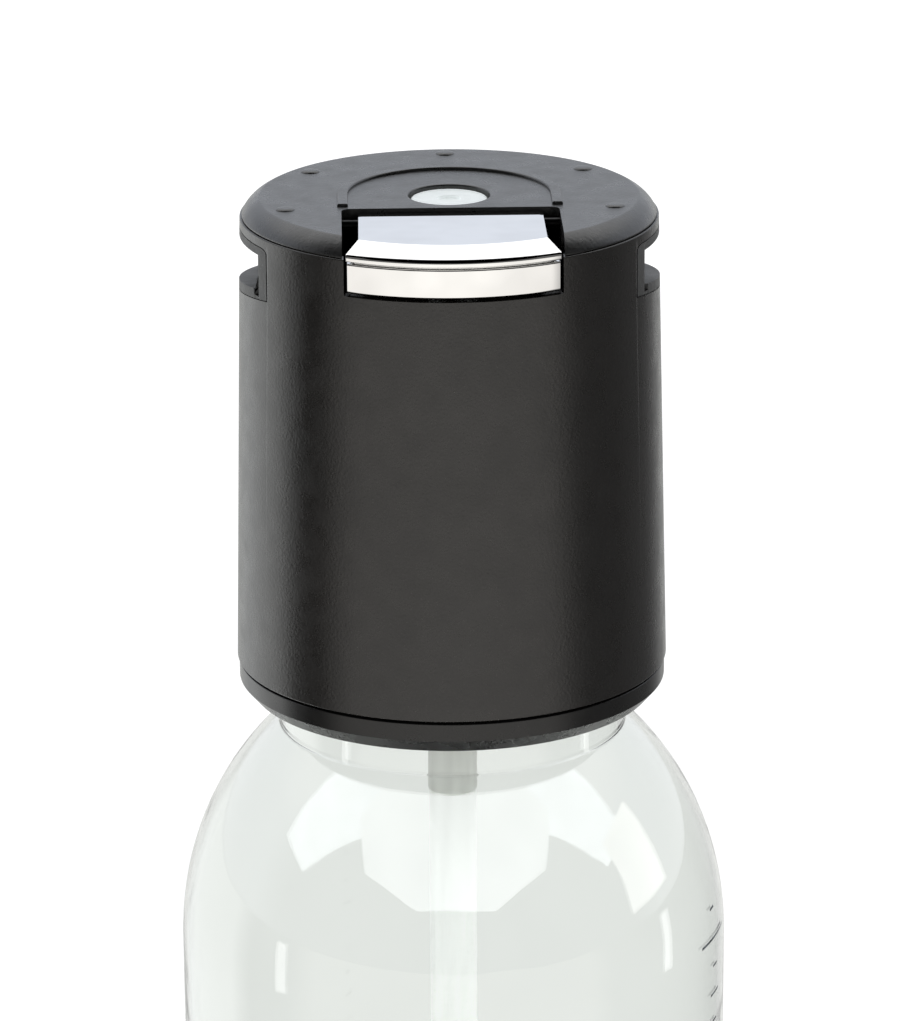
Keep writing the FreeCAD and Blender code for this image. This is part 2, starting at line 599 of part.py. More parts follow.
def top_cover():
    """Lid with a bevelled rim, raised arch, locating pips, hinge lugs and screw bosses."""
    low = SHELL_TOP + " + seam_gap"
    spigot = SHELL_INNER_TOP + " - seam_gap"
    middle = ("(cover_flat_radius + cover_edge_radius) / 2 + cover_bow",
              up("(cover_height + cover_edge_height) / 2 + cover_bow"))
    collar = "head_radius + deck_gap"
    lid = turned([("inlet_hole", COVER_TOP), ("cover_flat_radius", COVER_TOP), middle,
                  ("cover_edge_radius", up("cover_edge_height")), ("cover_edge_radius", low),
                  (spigot, low), (spigot, SHELL_TOP + " - cover_spigot"),
                  (spigot + " - cover_spigot_wall", SHELL_TOP + " - cover_spigot"),
                  (spigot + " - cover_spigot_wall", COVER_UNDER), (collar + " + collar_wall", COVER_UNDER),
                  (collar + " + collar_wall", COVER_UNDER + " - collar_length"),
                  (collar, COVER_UNDER + " - collar_length"), (collar, COVER_UNDER),
                  ("inlet_hole", COVER_UNDER)])
    arch_top = COVER_TOP + " + arch_height"
    ring = cut(rod("arch_radius", COVER_UNDER, arch_top),
               rod("arch_radius - arch_width", COVER_UNDER, arch_top),
               block(("-arch_radius", "-arch_radius", COVER_UNDER), ("arch_radius", "0", arch_top)))
    raised = [ring]
    for low_x, high_x in (("-arch_radius", "arch_width - arch_radius"), ("arch_radius - arch_width", "arch_radius")):
        raised.append(block((low_x, "-arch_leg", COVER_UNDER), (high_x, "0", arch_top)))
    sphere = "((pip_radius ^ 2 + pip_height ^ 2) / (2 * pip_height))"
    for x, y in on_circle("pip_circle", PIP_ANGLES):
        pip = primitive("Sphere", (x, y, "%s + pip_height - %s" % (COVER_TOP, sphere)), {"Radius": sphere})
        pip.Angle1, pip.Angle2 = -90, 90
        raised.append(common(pip, rod("2 * pip_radius", COVER_UNDER, arch_top, x, y)))
    for low_x, high_x in (("-slot_width / 2 - lug_width", "-slot_width / 2"),
                          ("slot_width / 2", "slot_width / 2 + lug_width")):
        raised.append(block((low_x, "-pin_offset - lug_width", up("lug_foot")),
                            (high_x, "-slot_back + lug_width", COVER_UNDER)))
    raised += [rod("pillar_radius", DECK_TOP, COVER_UNDER, x, y) for x, y in COVER_BOSSES]
    bores = [rod("screw_radius + running_gap", DECK_TOP, DECK_LOW + " + screw_grip + running_gap", x, y)
             for x, y in COVER_BOSSES]
    pin_bore = cross_rod("pin_radius + running_gap", PIN_LENGTH + " + 2 * seam_gap", "-pin_offset", PIN_Z)
    return cut(fuse(lid, *raised), lever_slot("slot_width / 2", "-slot_back"), pin_bore, *bores)


# ---------------------------------------------------------------- socket and valve body
def bottle_socket():
    """Internally threaded cup that screws on the neck, with vent and relief ports on its roof."""
    cup = turned([(SOCKET_BORE, up("socket_foot")), (SOCKET_OUTSIDE, up("socket_foot")),
                  (SOCKET_OUTSIDE, ROOF_TOP), ("stub_radius + stub_gap", ROOF_TOP),
                  ("stub_radius + stub_gap", ROOF_UNDER), (SOCKET_BORE, ROOF_UNDER)])
    ridge = thread(SOCKET_BORE, "neck_radius + screw_clearance", RIM + " - thread_start - thread_pitch / 2")
    ports = [rod("chimney_radius", ROOF_TOP, PORT_TOP, y=y) for y in ("-vent_offset", "relief_offset")]
    bosses = [rod("foot_boss_radius", ROOF_TOP, FLANGE_LOW, x, y) for x, y in FOOT_BOSSES]
    holes = [rod("vent_bore", ROOF_UNDER, PORT_TOP, y="-vent_offset"),
             rod("relief_bore", ROOF_UNDER, PORT_TOP, y="relief_offset")]
    holes += [rod("screw_radius + running_gap", FLANGE_TOP + " - foot_screw_grip", FLANGE_LOW, x, y)
              for x, y in FOOT_BOSSES]
    return fuse(cut(fuse(cup, *ports, *bosses), *holes), ridge, refine=False)


def bottle_gasket():
    """Flat sealing ring between the rim and the socket's roof."""
    outer = SOCKET_BORE + " - screw_clearance"
    low = RIM + " + contact_gap"
    return turned([("gasket_inner", low), (outer, low), (outer, ROOF_UNDER), ("gasket_inner", ROOF_UNDER)])


def valve_body():
    """Turned column that carries the gas from the inlet, past the check valve, to the dip tube."""
    bore = "spigot_radius + running_gap"
    low = ROOF_UNDER + " + contact_gap"
    spigot_end = SPIGOT_TOP + " + contact_gap"
    guide = "button_stem + running_gap"
    column = turned([
        (bore, low), (bore, spigot_end), ("gas_bore", spigot_end), ("gas_bore", up("check_floor")),
        ("check_chamber", up("check_floor")), ("check_chamber", up("check_roof")),
        ("seat_bore", up("check_roof")), ("seat_bore", up("drain_floor")),
        ("drain_radius", up("drain_floor")), ("drain_radius", up("guide_floor")),
        (guide, up("guide_floor")), (guide, up("guide_top")), ("button_bore", up("guide_top")),
        ("button_bore", up("head_top")), ("head_radius", up("head_top")), ("head_radius", DECK_LOW),
        ("top_flange_radius", DECK_LOW), ("top_flange_radius", DECK_LOW + " - flange_thickness"),
        ("head_radius", DECK_LOW + " - flange_thickness"), ("head_radius", up("head_foot")),
        ("stem_tube_radius", up("head_foot")), ("stem_tube_radius", FLANGE_TOP),
        ("foot_flange_radius", FLANGE_TOP), ("foot_flange_radius", FLANGE_LOW),
        ("stem_tube_radius", FLANGE_LOW), ("stem_tube_radius", ROOF_TOP),
        ("stub_radius", ROOF_TOP), ("stub_radius", low)])
    holes = [rod("screw_radius + screw_pass", FLANGE_LOW, FLANGE_TOP, x, y) for x, y in FOOT_BOSSES]
    return cut(column, *holes)


# ---------------------------------------------------------------- moving valve parts
def inlet_button():
    """White disc in the top that the machine's nozzle presses, with its guided stem."""
    foot = BUTTON_UNDER + " - button_stem_length"
    return turned([("0", foot), ("button_stem", foot), ("button_stem", BUTTON_UNDER),
                   ("button_radius", BUTTON_UNDER), ("button_radius", BUTTON_TOP), ("0", BUTTON_TOP)])


def check_poppet():
    """Puck that closes the gas way upwards."""
    return turned([("0", CHECK_LOW), ("check_radius", CHECK_LOW), ("check_radius", CHECK_TOP), ("0", CHECK_TOP)])


def vent_seat():
    """Rubber ring on the vent port."""
    return turned([("vent_bore", PORT_TOP), ("chimney_radius", PORT_TOP), ("chimney_radius", VENT_SEAT_TOP),
                   ("vent_bore", VENT_SEAT_TOP)], y="-vent_offset")


def vent_rod():
    """Poppet on the vent port with a long rod up to the lever's fork."""
    low = VENT_SEAT_TOP + " + running_gap"
    disc_top = low + " + vent_disc_height"
    collar, collar_top = up("vent_collar_level"), up("vent_collar_level + vent_collar_height")
    neck, head = up("vent_neck_level"), up("fork_level + fork_gap")
    return turned([("0", low), ("vent_disc", low), ("vent_disc", disc_top), ("vent_stem", disc_top),
                   ("vent_stem", collar), ("vent_collar", collar), ("vent_collar", collar_top),
                   ("vent_stem", collar_top), ("vent_stem", neck), ("vent_neck", neck), ("vent_neck", head),
                   ("vent_head", head), ("vent_head", head + " + vent_head_height"),
                   ("0", head + " + vent_head_height")], y="-vent_offset")


def relief_poppet():
    """Small poppet that lifts by itself at too high a pressure."""
    low = PORT_TOP + " + running_gap"
    disc_top = low + " + relief_disc_height"
    return turned([("0", low), ("relief_disc", low), ("relief_disc", disc_top), ("relief_stem", disc_top),
                   ("relief_stem", disc_top + " + relief_stem_length"),
                   ("0", disc_top + " + relief_stem_length")], y="relief_offset")


def relief_cap():
    """Cap on the relief port that backs the spring and guides the stem."""
    top = PORT_TOP + " + relief_cap_height"
    bore, guide = "chimney_radius - relief_cap_wall", "relief_stem + running_gap"
    return turned([(bore, PORT_TOP), ("chimney_radius", PORT_TOP), ("chimney_radius", top), (guide, top),
                   (guide, top + " - relief_cap_roof"), (bore, top + " - relief_cap_roof")],
                  y="relief_offset")


# ---------------------------------------------------------------- lever
def lever_outline(half_width, low):
    """Plan of the lever: straight sides that flare out to the lip."""
    side, lip = LEVER_SIDE, half_width
    ridge_y = "-sqrt(ridge_radius ^ 2 - %s ^ 2)" % LEVER_SIDE
    lip_y = "-sqrt(lip_radius ^ 2 - %s ^ 2)" % LIP_SIDE
    right = [(side, "-lever_back"), (side, ridge_y), (lip, lip_y), (lip, "-shell_radius")]
    left = [("-(%s)" % x, y) for x, y in reversed(right)]
    return prism(right + left, low, up("lever_level + lever_plate"))


def release_lever():
    """Flat lever with a sloping lip, a front wall, hinge barrel and the fork for the vent's rod."""
    top = up("lever_level")
    face = turned([("0", top), ("ridge_radius", top), ("lip_radius", up("lip_level")),
                   ("lip_radius", up("lip_foot")), ("skirt_radius", up("lip_foot")),
                   ("skirt_radius", up("skirt_foot")), ("skirt_radius - skirt_wall", up("skirt_foot")),
                   ("skirt_radius - skirt_wall", up("lip_foot")), ("ridge_radius", LEVER_UNDER),
                   ("0", LEVER_UNDER)])
    plate = common(face, lever_outline(LIP_SIDE, up("apron_foot")))
    back, front = "-lever_back", "-ridge_radius + lever_plate * 3"
    added = [cross_rod("pin_drop", "2 * " + LEVER_SIDE, "-pin_offset", PIN_Z)]
    for low_x, high_x in (("-" + LEVER_SIDE, "cheek_wall - " + LEVER_SIDE),
                          (LEVER_SIDE + " - cheek_wall", LEVER_SIDE)):
        added.append(block((low_x, front, up("cheek_foot")), (high_x, back, LEVER_UNDER)))
    fork_y = ("-vent_offset - fork_reach", "-vent_offset + fork_reach - running_gap")
    for sign in (-1, 1):
        spans = (("fork_slot / 2", "fork_width / 2", "fork_level - fork_thickness", "fork_level"),
                 ("fork_width / 2 - fork_web", "fork_width / 2", "fork_level", "lever_level - lever_plate"))
        for near, far, low, high in spans:
            low_x, high_x = (near, far) if sign > 0 else ("-(%s)" % far, "-(%s)" % near)
            added.append(block((low_x, fork_y[0], up(low)), (high_x, fork_y[1], up(high))))
    bore = cross_rod("pin_radius + running_gap", "2 * " + LIP_SIDE, "-pin_offset", PIN_Z)
    return cut(fuse(plate, *added), bore)


def lever_apron():
    """Curved plate clipped to the front of the lever."""
    back = "skirt_radius + seam_gap"
    plate = turned([(back, up("apron_foot")), ("apron_radius", up("apron_foot")),
                    ("apron_radius", up("apron_top")), (back, up("apron_top"))])
    window = block(("-" + APRON_SIDE, "-2 * shell_radius", up("apron_foot")),
                   (APRON_SIDE, "0", up("apron_top")))
    return common(plate, window)


def lever_pin():
    """Steel pin through the lever's barrel and the cover's lugs."""
    return cross_rod("pin_radius", PIN_LENGTH, "-pin_offset", PIN_Z)


# ---------------------------------------------------------------- springs and screws
def springs():
    """The four valve springs, by label."""
    vent = up("vent_collar_level + vent_collar_height")
    return {
        "check_spring": spring("check_spring_radius", "thin_wire", up("check_floor"), CHECK_LOW, 5),
        "inlet_spring": spring("inlet_spring_radius", "thick_wire", up("guide_top"), BUTTON_UNDER, 5),
        "vent_spring": spring("vent_spring_radius", "thick_wire", vent, DECK_LOW, 6, y="-vent_offset"),
        "relief_spring": spring("relief_spring_radius", "thin_wire",
                                PORT_TOP + " + running_gap + relief_disc_height",
                                PORT_TOP + " + relief_cap_height - relief_cap_roof", 6, y="relief_offset"),
    }


def screws():
    """The three sets of screws, by label."""
    return {
        "socket_screws": group(screw("foot_screw_grip", FLANGE_TOP, x, y) for x, y in FOOT_BOSSES),
        "frame_screws": group(screw("screw_grip", DECK_TOP, x, y) for x, y in PILLARS),
        "cover_screws": group(screw("screw_grip", DECK_LOW, x, y, False) for x, y in COVER_BOSSES),
    }


# ---------------------------------------------------------------- build, check and write
builders = (bottle, base_cup, tube_holder, dip_tube, outer_shell, base_ring, rail_frame, top_cover,
            bottle_socket, bottle_gasket, valve_body, inlet_button, check_poppet, vent_seat, vent_rod,
            relief_poppet, relief_cap, release_lever, lever_apron, lever_pin)
nodes = {builder.__name__: builder() for builder in builders}
nodes.update(springs())
nodes.update(screws())
for label, node in nodes.items():
    node.Label = label
doc.recompute()

for thing in doc.Objects:
    if "Invalid" in thing.State or "Error" in thing.State:
        raise RuntimeError("%s (%s) did not build: %s" % (thing.Label, thing.Name, thing.State))
os.makedirs("parts", exist_ok=True)
for label, node in nodes.items():
    shape = node.Shape
    if shape.isNull() or not shape.isValid() or not shape.Solids:
        raise RuntimeError("%s has no valid solid" % label)
    shape.exportStep(os.path.join("parts", label + ".step"))
    box = shape.optimalBoundingBox(False, False)
    print("%-15s %d solid(s) %9.1f mm3  x %.1f..%.1f y %.1f..%.1f z %.1f..%.1f"
          % (label, len(shape.Solids), shape.Volume, box.XMin, box.XMax, box.YMin, box.YMax, box.ZMin, box.ZMax))
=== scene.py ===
"""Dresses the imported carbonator: clear bottle, black gas infuser, chrome release lever, dip tube.

Every length is in millimetres until it reaches a mesh, and heights of the infuser are counted
from the seam between its skirt and its base ring.  -Y is the lever's side.
"""
import logging
import math
from dataclasses import dataclass, field
from enum import Enum
from typing import Callable, Optional, Protocol, Sequence, Union

import bmesh
import bpy
from mathutils import Matrix, Vector


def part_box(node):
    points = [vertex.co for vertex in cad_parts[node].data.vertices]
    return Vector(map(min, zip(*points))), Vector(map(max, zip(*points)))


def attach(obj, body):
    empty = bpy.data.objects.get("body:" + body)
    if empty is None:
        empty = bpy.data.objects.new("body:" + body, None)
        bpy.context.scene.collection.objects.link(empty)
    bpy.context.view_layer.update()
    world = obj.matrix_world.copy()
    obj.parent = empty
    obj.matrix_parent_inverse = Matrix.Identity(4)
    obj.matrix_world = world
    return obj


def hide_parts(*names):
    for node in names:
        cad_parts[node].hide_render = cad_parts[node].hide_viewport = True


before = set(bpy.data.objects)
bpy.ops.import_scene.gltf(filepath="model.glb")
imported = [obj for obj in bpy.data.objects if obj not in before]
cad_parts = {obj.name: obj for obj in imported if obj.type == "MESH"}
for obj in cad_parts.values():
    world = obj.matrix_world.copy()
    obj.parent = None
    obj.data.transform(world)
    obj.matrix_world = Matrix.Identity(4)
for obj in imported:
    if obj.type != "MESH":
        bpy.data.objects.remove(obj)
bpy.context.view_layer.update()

LOG = logging.getLogger("carbonator")
MM = 0.001
TURNS = 256
Point = tuple[float, float]
Colour = tuple[float, float, float]
Paint = Union[Colour, bpy.types.NodeSocket]


class Body(Enum):
    """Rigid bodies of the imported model."""

    BOTTLE = "bottle"
    GAS_TUBE = "gas_tube"
    INFUSER = "infuser"
    LEVER = "lever"
    INLET = "inlet_poppet"


class Cut(Enum):
    """Ways to combine two solids."""

    TAKE = "DIFFERENCE"
    KEEP_SHARED = "INTERSECT"
    JOIN = "UNION"


# ------------------------------------------------------------------ heights taken from the frame
def node_low(node: str) -> float:
    """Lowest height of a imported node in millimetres."""
    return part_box(node)[0].z / MM


def node_high(node: str) -> float:
    """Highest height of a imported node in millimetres."""
    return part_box(node)[1].z / MM


def node_radius(node: str) -> float:
    """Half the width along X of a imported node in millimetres."""
    low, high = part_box(node)
    return (high.x - low.x) / 2 / MM


SEAM = node_low("outer_shell")


def up(height: float) -> float:
    """Height above the floor of a height above the seam."""
    return SEAM + height


def raised(corners: Sequence[tuple[float, ...]]) -> list[tuple[float, ...]]:
    """(radius, height) corners with their heights counted from the floor."""
    return [(corner[0], up(corner[1]), *corner[2:]) for corner in corners]


# hinge of the lever, shared by the lid's lugs and the lever itself
PIN_RADIUS = 0.8
PIN_Y = -11.2
PIN_LEVEL = 74.6


# ------------------------------------------------------------------ outlines
def arc(centre: Point, radius: float, start: float, end: float, steps: int) -> list[Point]:
    """Points on a circle.

    Args:
        centre: Middle of the circle.
        radius: Its radius.
        start: First angle in degrees.
        end: Last angle in degrees.
        steps: Number of spans.

    Returns:
        The points from start to end, both included.
    """
    angles = (math.radians(start + (end - start) * step / steps) for step in range(steps + 1))
    return [(centre[0] + radius * math.cos(a), centre[1] + radius * math.sin(a)) for a in angles]


def ellipse(centre: Point, wide: float, high: float, start: float, end: float, steps: int) -> list[Point]:
    """Points on an upright ellipse, from one angle parameter in degrees to another.

    Args:
        centre: Middle of the ellipse.
        wide: Half axis along the first coordinate.
        high: Half axis along the second coordinate.
        start: First parameter.
        end: Last parameter.
        steps: Number of spans.

    Returns:
        The points from start to end, both included.
    """
    unit = arc((0.0, 0.0), 1.0, start, end, steps)
    return [(centre[0] + wide * x, centre[1] + high * y) for x, y in unit]


def rounded(corners: Sequence[tuple[float, ...]], closed: bool = True, steps: int = 5) -> list[Point]:
    """Round the corners of an outline.

    Args:
        corners: (x, y) or (x, y, radius) for each corner.
        closed: Whether the last corner is joined to the first.
        steps: Spans in each rounded corner.

    Returns:
        The outline with an arc in place of each corner that has a radius.
    """
    points: list[Point] = []
    count = len(corners)
    for index, corner in enumerate(corners):
        here = Vector(corner[:2])
        radius = corner[2] if len(corner) > 2 else 0.0
        inside = closed or 0 < index < count - 1
        if not radius or not inside:
            points.append(tuple(here))
            continue
        before = (Vector(corners[index - 1][:2]) - here).normalized()
        after = (Vector(corners[(index + 1) % count][:2]) - here).normalized()
        half = before.angle(after) / 2
        reach = radius / math.tan(half)
        middle = here + (before + after).normalized() * (radius / math.sin(half))
        start, end = here + before * reach - middle, here + after * reach - middle
        for step in range(steps + 1):
            share = step / steps
            spoke = start.slerp(end, share) if start.angle(end) > 1e-6 else start
            points.append(tuple(middle + spoke.normalized() * radius))
    return points


# ------------------------------------------------------------------ meshes
def new_piece(name: str, mesh: bmesh.types.BMesh) -> bpy.types.Object:
    """Turn a bmesh in millimetres into a linked object in metres.

    Args:
        name: Name of the object and of its mesh.
        mesh: The bmesh, which is freed.

    Returns:
        The new object, shaded smooth.
    """
    bmesh.ops.remove_doubles(mesh, verts=mesh.verts, dist=1e-5)
    bmesh.ops.recalc_face_normals(mesh, faces=mesh.faces)
    bmesh.ops.scale(mesh, vec=(MM, MM, MM), verts=mesh.verts)
    data = bpy.data.meshes.new(name)
    mesh.to_mesh(data)
    mesh.free()
    data.polygons.foreach_set("use_smooth", [True] * len(data.polygons))
    piece = bpy.data.objects.new(name, data)
    bpy.context.scene.collection.objects.link(piece)
    return piece


def lathe(name: str, outline: Sequence[Point], turns: int = TURNS, closed: bool = True,
          shift: Optional[Callable[[float, float], float]] = None) -> bpy.types.Object:
    """Turn an outline about the bottle's axis.

    Args:
        name: Name of the piece.
        outline: (radius, height) points in order.
        turns: Number of steps round the axis.
        closed: Whether the outline is a loop; an open one starts and ends on the axis.
        shift: Optional radial offset for an (angle, height) place, for ridges on the surface.

    Returns:
        The turned solid.
    """
    mesh = bmesh.new()
    rings: list[list[bmesh.types.BMVert]] = []
    for radius, height in outline:
        ring = []
        for turn in range(turns):
            angle = 2 * math.pi * turn / turns
            reach = radius + (shift(angle, height) if shift and radius > 1e-6 else 0.0)
            ring.append(mesh.verts.new((reach * math.cos(angle), reach * math.sin(angle), height)))
        rings.append(ring)
    pairs = list(zip(rings, rings[1:]))
    if closed:
        pairs.append((rings[-1], rings[0]))
    for below, above in pairs:
        for turn in range(turns):
            following = (turn + 1) % turns
            mesh.faces.new((below[turn], below[following], above[following], above[turn]))
    bmesh.ops.remove_doubles(mesh, verts=mesh.verts, dist=1e-5)
    bmesh.ops.dissolve_degenerate(mesh, edges=mesh.edges, dist=1e-6)
    return new_piece(name, mesh)


def loft(name: str, first: Sequence[Vector], last: Sequence[Vector]) -> bpy.types.Object:
    """Join two outlines of equal length into a closed solid.

    Args:
        name: Name of the piece.
        first: Corners of one end.
        last: Matching corners of the other end.

    Returns:
        The solid between them.
    """
    mesh = bmesh.new()
    ends = [[mesh.verts.new(corner) for corner in end] for end in (first, last)]
    mesh.faces.new(ends[0])
    mesh.faces.new(list(reversed(ends[1])))
    count = len(first)
    for index in range(count):
        following = (index + 1) % count
        mesh.faces.new((ends[0][following], ends[0][index], ends[1][index], ends[1][following]))
    return new_piece(name, mesh)


def prism_up(name: str, outline: Sequence[Point], low: float, high: float) -> bpy.types.Object:
    """A solid with an (x, y) outline between two heights."""
    return loft(name, [Vector((x, y, low)) for x, y in outline], [Vector((x, y, high)) for x, y in outline])


def prism_back(name: str, outline: Sequence[Point], front: float, back: float) -> bpy.types.Object:
    """A solid with an (x, z) outline between two places along Y."""
    return loft(name, [Vector((x, front, z)) for x, z in outline], [Vector((x, back, z)) for x, z in outline])


def block(name: str, low: Sequence[float], high: Sequence[float]) -> bpy.types.Object:
    """A box between two corners."""
    outline = [(low[0], low[1]), (high[0], low[1]), (high[0], high[1]), (low[0], high[1])]
    return prism_up(name, outline, low[2], high[2])


def cross_rod(name: str, radius: float, half_length: float, y: float, z: float) -> bpy.types.Object:
    """A cylinder along X, centred on the middle plane."""
    ring = [(y + radius * math.cos(a), z + radius * math.sin(a))
            for a in (2 * math.pi * step / 48 for step in range(48))]
    return loft(name, [Vector((-half_length, *point)) for point in ring],
                [Vector((half_length, *point)) for point in ring])


def combine(piece: bpy.types.Object, tool: bpy.types.Object, how: Cut) -> bpy.types.Object:
    """Cut, keep or join with another solid, which is used up.

    Args:
        piece: The solid that is changed.
        tool: The other solid.
        how: What is done with it.

    Returns:
        The changed piece.
    """
    step = piece.modifiers.new("combine", "BOOLEAN")
    step.operation = how.value
    step.solver = "EXACT"
    step.object = tool
    graph = bpy.context.evaluated_depsgraph_get()
    result = bpy.data.meshes.new_from_object(piece.evaluated_get(graph))
    piece.modifiers.clear()
    old, piece.data = piece.data, result
    bpy.data.meshes.remove(old)
    bpy.data.meshes.remove(tool.data)
    result.polygons.foreach_set("use_smooth", [True] * len(result.polygons))
    return piece


def soften(piece: bpy.types.Object, width: float, segments: int = 3, angle: float = 32.0) -> bpy.types.Object:
    """Round the sharp edges of a piece and keep its broad faces true.

    Args:
        piece: The piece.
        width: Width of the rounding in millimetres.
        segments: Steps across it.
        angle: Edges sharper than this many degrees are rounded.

    Returns:
        The same piece.
    """
    edge = piece.modifiers.new("edges", "BEVEL")
    edge.width = width * MM
    edge.segments = segments
    edge.limit_method = "ANGLE"
    edge.angle_limit = math.radians(angle)
    edge.use_clamp_overlap = True
    edge.miter_outer = "MITER_ARC"
    return even_normals(piece)


def even_normals(piece: bpy.types.Object) -> bpy.types.Object:
    """Weight the normals by face area, so that broad faces stay true."""
    weighted = piece.modifiers.new("normals", "WEIGHTED_NORMAL")
    weighted.weight = 100
    weighted.keep_sharp = False
    return piece


def joined(pieces: Sequence[bpy.types.Object]) -> bpy.types.Object:
    """Put several meshes into the first one without touching their shapes."""
    mesh = bmesh.new()
    for piece in pieces:
        mesh.from_mesh(piece.data)
    mesh.to_mesh(pieces[0].data)
    mesh.free()
    for spare in pieces[1:]:
        bpy.data.meshes.remove(spare.data)
    return pieces[0]


# ------------------------------------------------------------------ node trees
def blend(tree: bpy.types.NodeTree, share: bpy.types.NodeSocket, first: Paint,
          second: Paint) -> bpy.types.NodeSocket:
    """A colour between two.

    Args:
        tree: The node tree.
        share: How much of the second, from 0 to 1.
        first: A colour or the socket of one.
        second: A colour or the socket of one.

    Returns:
        The socket of the mixed colour.
    """
    made = tree.nodes.new("ShaderNodeMix")
    made.data_type = "RGBA"
    tree.links.new(share, made.inputs["Factor"])
    for name, paint in (("A", first), ("B", second)):
        if isinstance(paint, bpy.types.NodeSocket):
            tree.links.new(paint, made.inputs[name])
        else:
            made.inputs[name].default_value = (*paint, 1)
    return made.outputs["Result"]


def reckon(tree: bpy.types.NodeTree, operation: str, *values: Union[bpy.types.NodeSocket, float],
           clamp: bool = False) -> bpy.types.NodeSocket:
    """The result of one operation on numbers.

    Args:
        tree: The node tree.
        operation: Blender's name of the operation.
        *values: Plain numbers or sockets.
        clamp: Whether the result stays between 0 and 1.

    Returns:
        The socket of the result.
    """
    made = tree.nodes.new("ShaderNodeMath")
    made.operation = operation
    made.use_clamp = clamp
    for socket, value in zip(made.inputs, values):
        if isinstance(value, bpy.types.NodeSocket):
            tree.links.new(value, socket)
        else:
            socket.default_value = value
    return made.outputs[0]


class Graph:
    """The node tree of one finish, with short calls for the nodes used here."""

    def __init__(self, name: str) -> None:
        """Start an empty material with its output node."""
        self.material = bpy.data.materials.new(name)
        self.material.use_nodes = True
        self.tree = self.material.node_tree
        self.tree.nodes.clear()
        self.output = self.tree.nodes.new("ShaderNodeOutputMaterial")
        self.place = self.tree.nodes.new("ShaderNodeTexCoord").outputs["Object"]

    def node(self, kind: str, **inputs: object) -> bpy.types.Node:
        """Add a node; a link or a plain value is given for each named input.

        Args:
            kind: Blender's name of the node type.
            **inputs: Sockets by name, with underscores for spaces.

        Returns:
            The new node.
        """
        made = self.tree.nodes.new(kind)
        for name, value in inputs.items():
            socket = made.inputs[name.replace("_", " ")]
            if isinstance(value, bpy.types.NodeSocket):
                self.tree.links.new(value, socket)
            else:
                socket.default_value = value
        return made

    def stretched(self, stretch: Sequence[float]) -> bpy.types.NodeSocket:
        """Object coordinates scaled along each axis."""
        return self.node("ShaderNodeMapping", Vector=self.place, Scale=tuple(stretch)).outputs["Vector"]

    def noise(self, feature: float, detail: float = 2.0, roughness: float = 0.5, distortion: float = 0.0,
              place: Optional[bpy.types.NodeSocket] = None) -> bpy.types.NodeSocket:
        """Noise whose features are about this many millimetres across."""
        made = self.node("ShaderNodeTexNoise", Vector=place or self.place, Scale=1 / (feature * MM),
                         Detail=detail, Roughness=roughness, Distortion=distortion)
        return made.outputs["Fac"]

    def cells(self, size: float) -> bpy.types.NodeSocket:
        """Distance to the nearest of scattered points this many millimetres apart."""
        made = self.node("ShaderNodeTexVoronoi", Vector=self.place, Scale=1 / (size * MM))
        return made.outputs["Distance"]

    def span(self, value: bpy.types.NodeSocket, low: float, high: float,
             to_low: float, to_high: float) -> bpy.types.NodeSocket:
        """Map a value from one span to another, clamped."""
        made = self.node("ShaderNodeMapRange")
        self.tree.links.new(value, made.inputs["Value"])
        for name, number in (("From Min", low), ("From Max", high), ("To Min", to_low), ("To Max", to_high)):
            made.inputs[name].default_value = number
        return made.outputs["Result"]

    def mixed(self, share: bpy.types.NodeSocket, first: Paint, second: Paint) -> bpy.types.NodeSocket:
        """A colour between two, by a share from 0 to 1."""
        return blend(self.tree, share, first, second)

    def summed(self, first: bpy.types.NodeSocket, second: bpy.types.NodeSocket,
               share: float = 1.0) -> bpy.types.NodeSocket:
        """One value plus a share of another."""
        return reckon(self.tree, "MULTIPLY_ADD", second, share, first)

    def relief(self, value: bpy.types.NodeSocket, depth: float, strength: float = 1.0,
               below: Optional[bpy.types.NodeSocket] = None) -> bpy.types.NodeSocket:
        """A bump of the given depth in millimetres, on top of another one if given."""
        made = self.node("ShaderNodeBump", Height=value, Distance=depth * MM, Strength=strength)
        if below:
            self.tree.links.new(below, made.inputs["Normal"])
        return made.outputs["Normal"]

    def surface(self, **inputs: object) -> bpy.types.Material:
        """Close the tree with a Principled shader.

        Args:
            **inputs: Its sockets by name, with underscores for spaces.

        Returns:
            The finished material.
        """
        shader = self.node("ShaderNodeBsdfPrincipled", **inputs)
        self.tree.links.new(shader.outputs["BSDF"], self.output.inputs["Surface"])
        return self.material


# ------------------------------------------------------------------ finishes
class Finish(Protocol):
    """What every finish offers."""

    @property
    def name(self) -> str:
        """Name of its material."""

    def material(self) -> bpy.types.Material:
        """Build its material."""


@dataclass(frozen=True)
class GrainedPlastic:
    """Moulded plastic with spark-eroded grain, tiny glints and a little wear."""

    name: str
    dark: Colour
    light: Colour
    grain: float
    depth: float
    roughness: float
    shine: float = 0.5

    def material(self) -> bpy.types.Material:
        """Build the node tree of the grain, its colour drift and its glints."""
        graph = Graph(self.name)
        grain = graph.noise(self.grain, detail=3.0, roughness=0.65)
        pits = graph.cells(self.grain * 1.7)
        drift = graph.noise(18.0, detail=2.0)
        glints = graph.span(graph.noise(self.grain * 0.5, detail=0.0), 0.74, 0.84, 0.0, 1.0)
        tone = graph.mixed(graph.span(drift, 0.3, 0.7, 0.0, 1.0), self.dark, self.light)
        colour = graph.mixed(glints, tone, tuple(min(1.0, 2 * part + 0.01) for part in self.light))
        height = graph.summed(grain, pits, 0.5)
        wear = graph.noise(4.0, detail=4.0)
        rough = graph.span(wear, 0.25, 0.75, self.roughness - 0.05, self.roughness + 0.06)
        return graph.surface(Base_Color=colour, Roughness=rough,
                             Normal=graph.relief(height, self.depth), Specular_IOR_Level=self.shine)


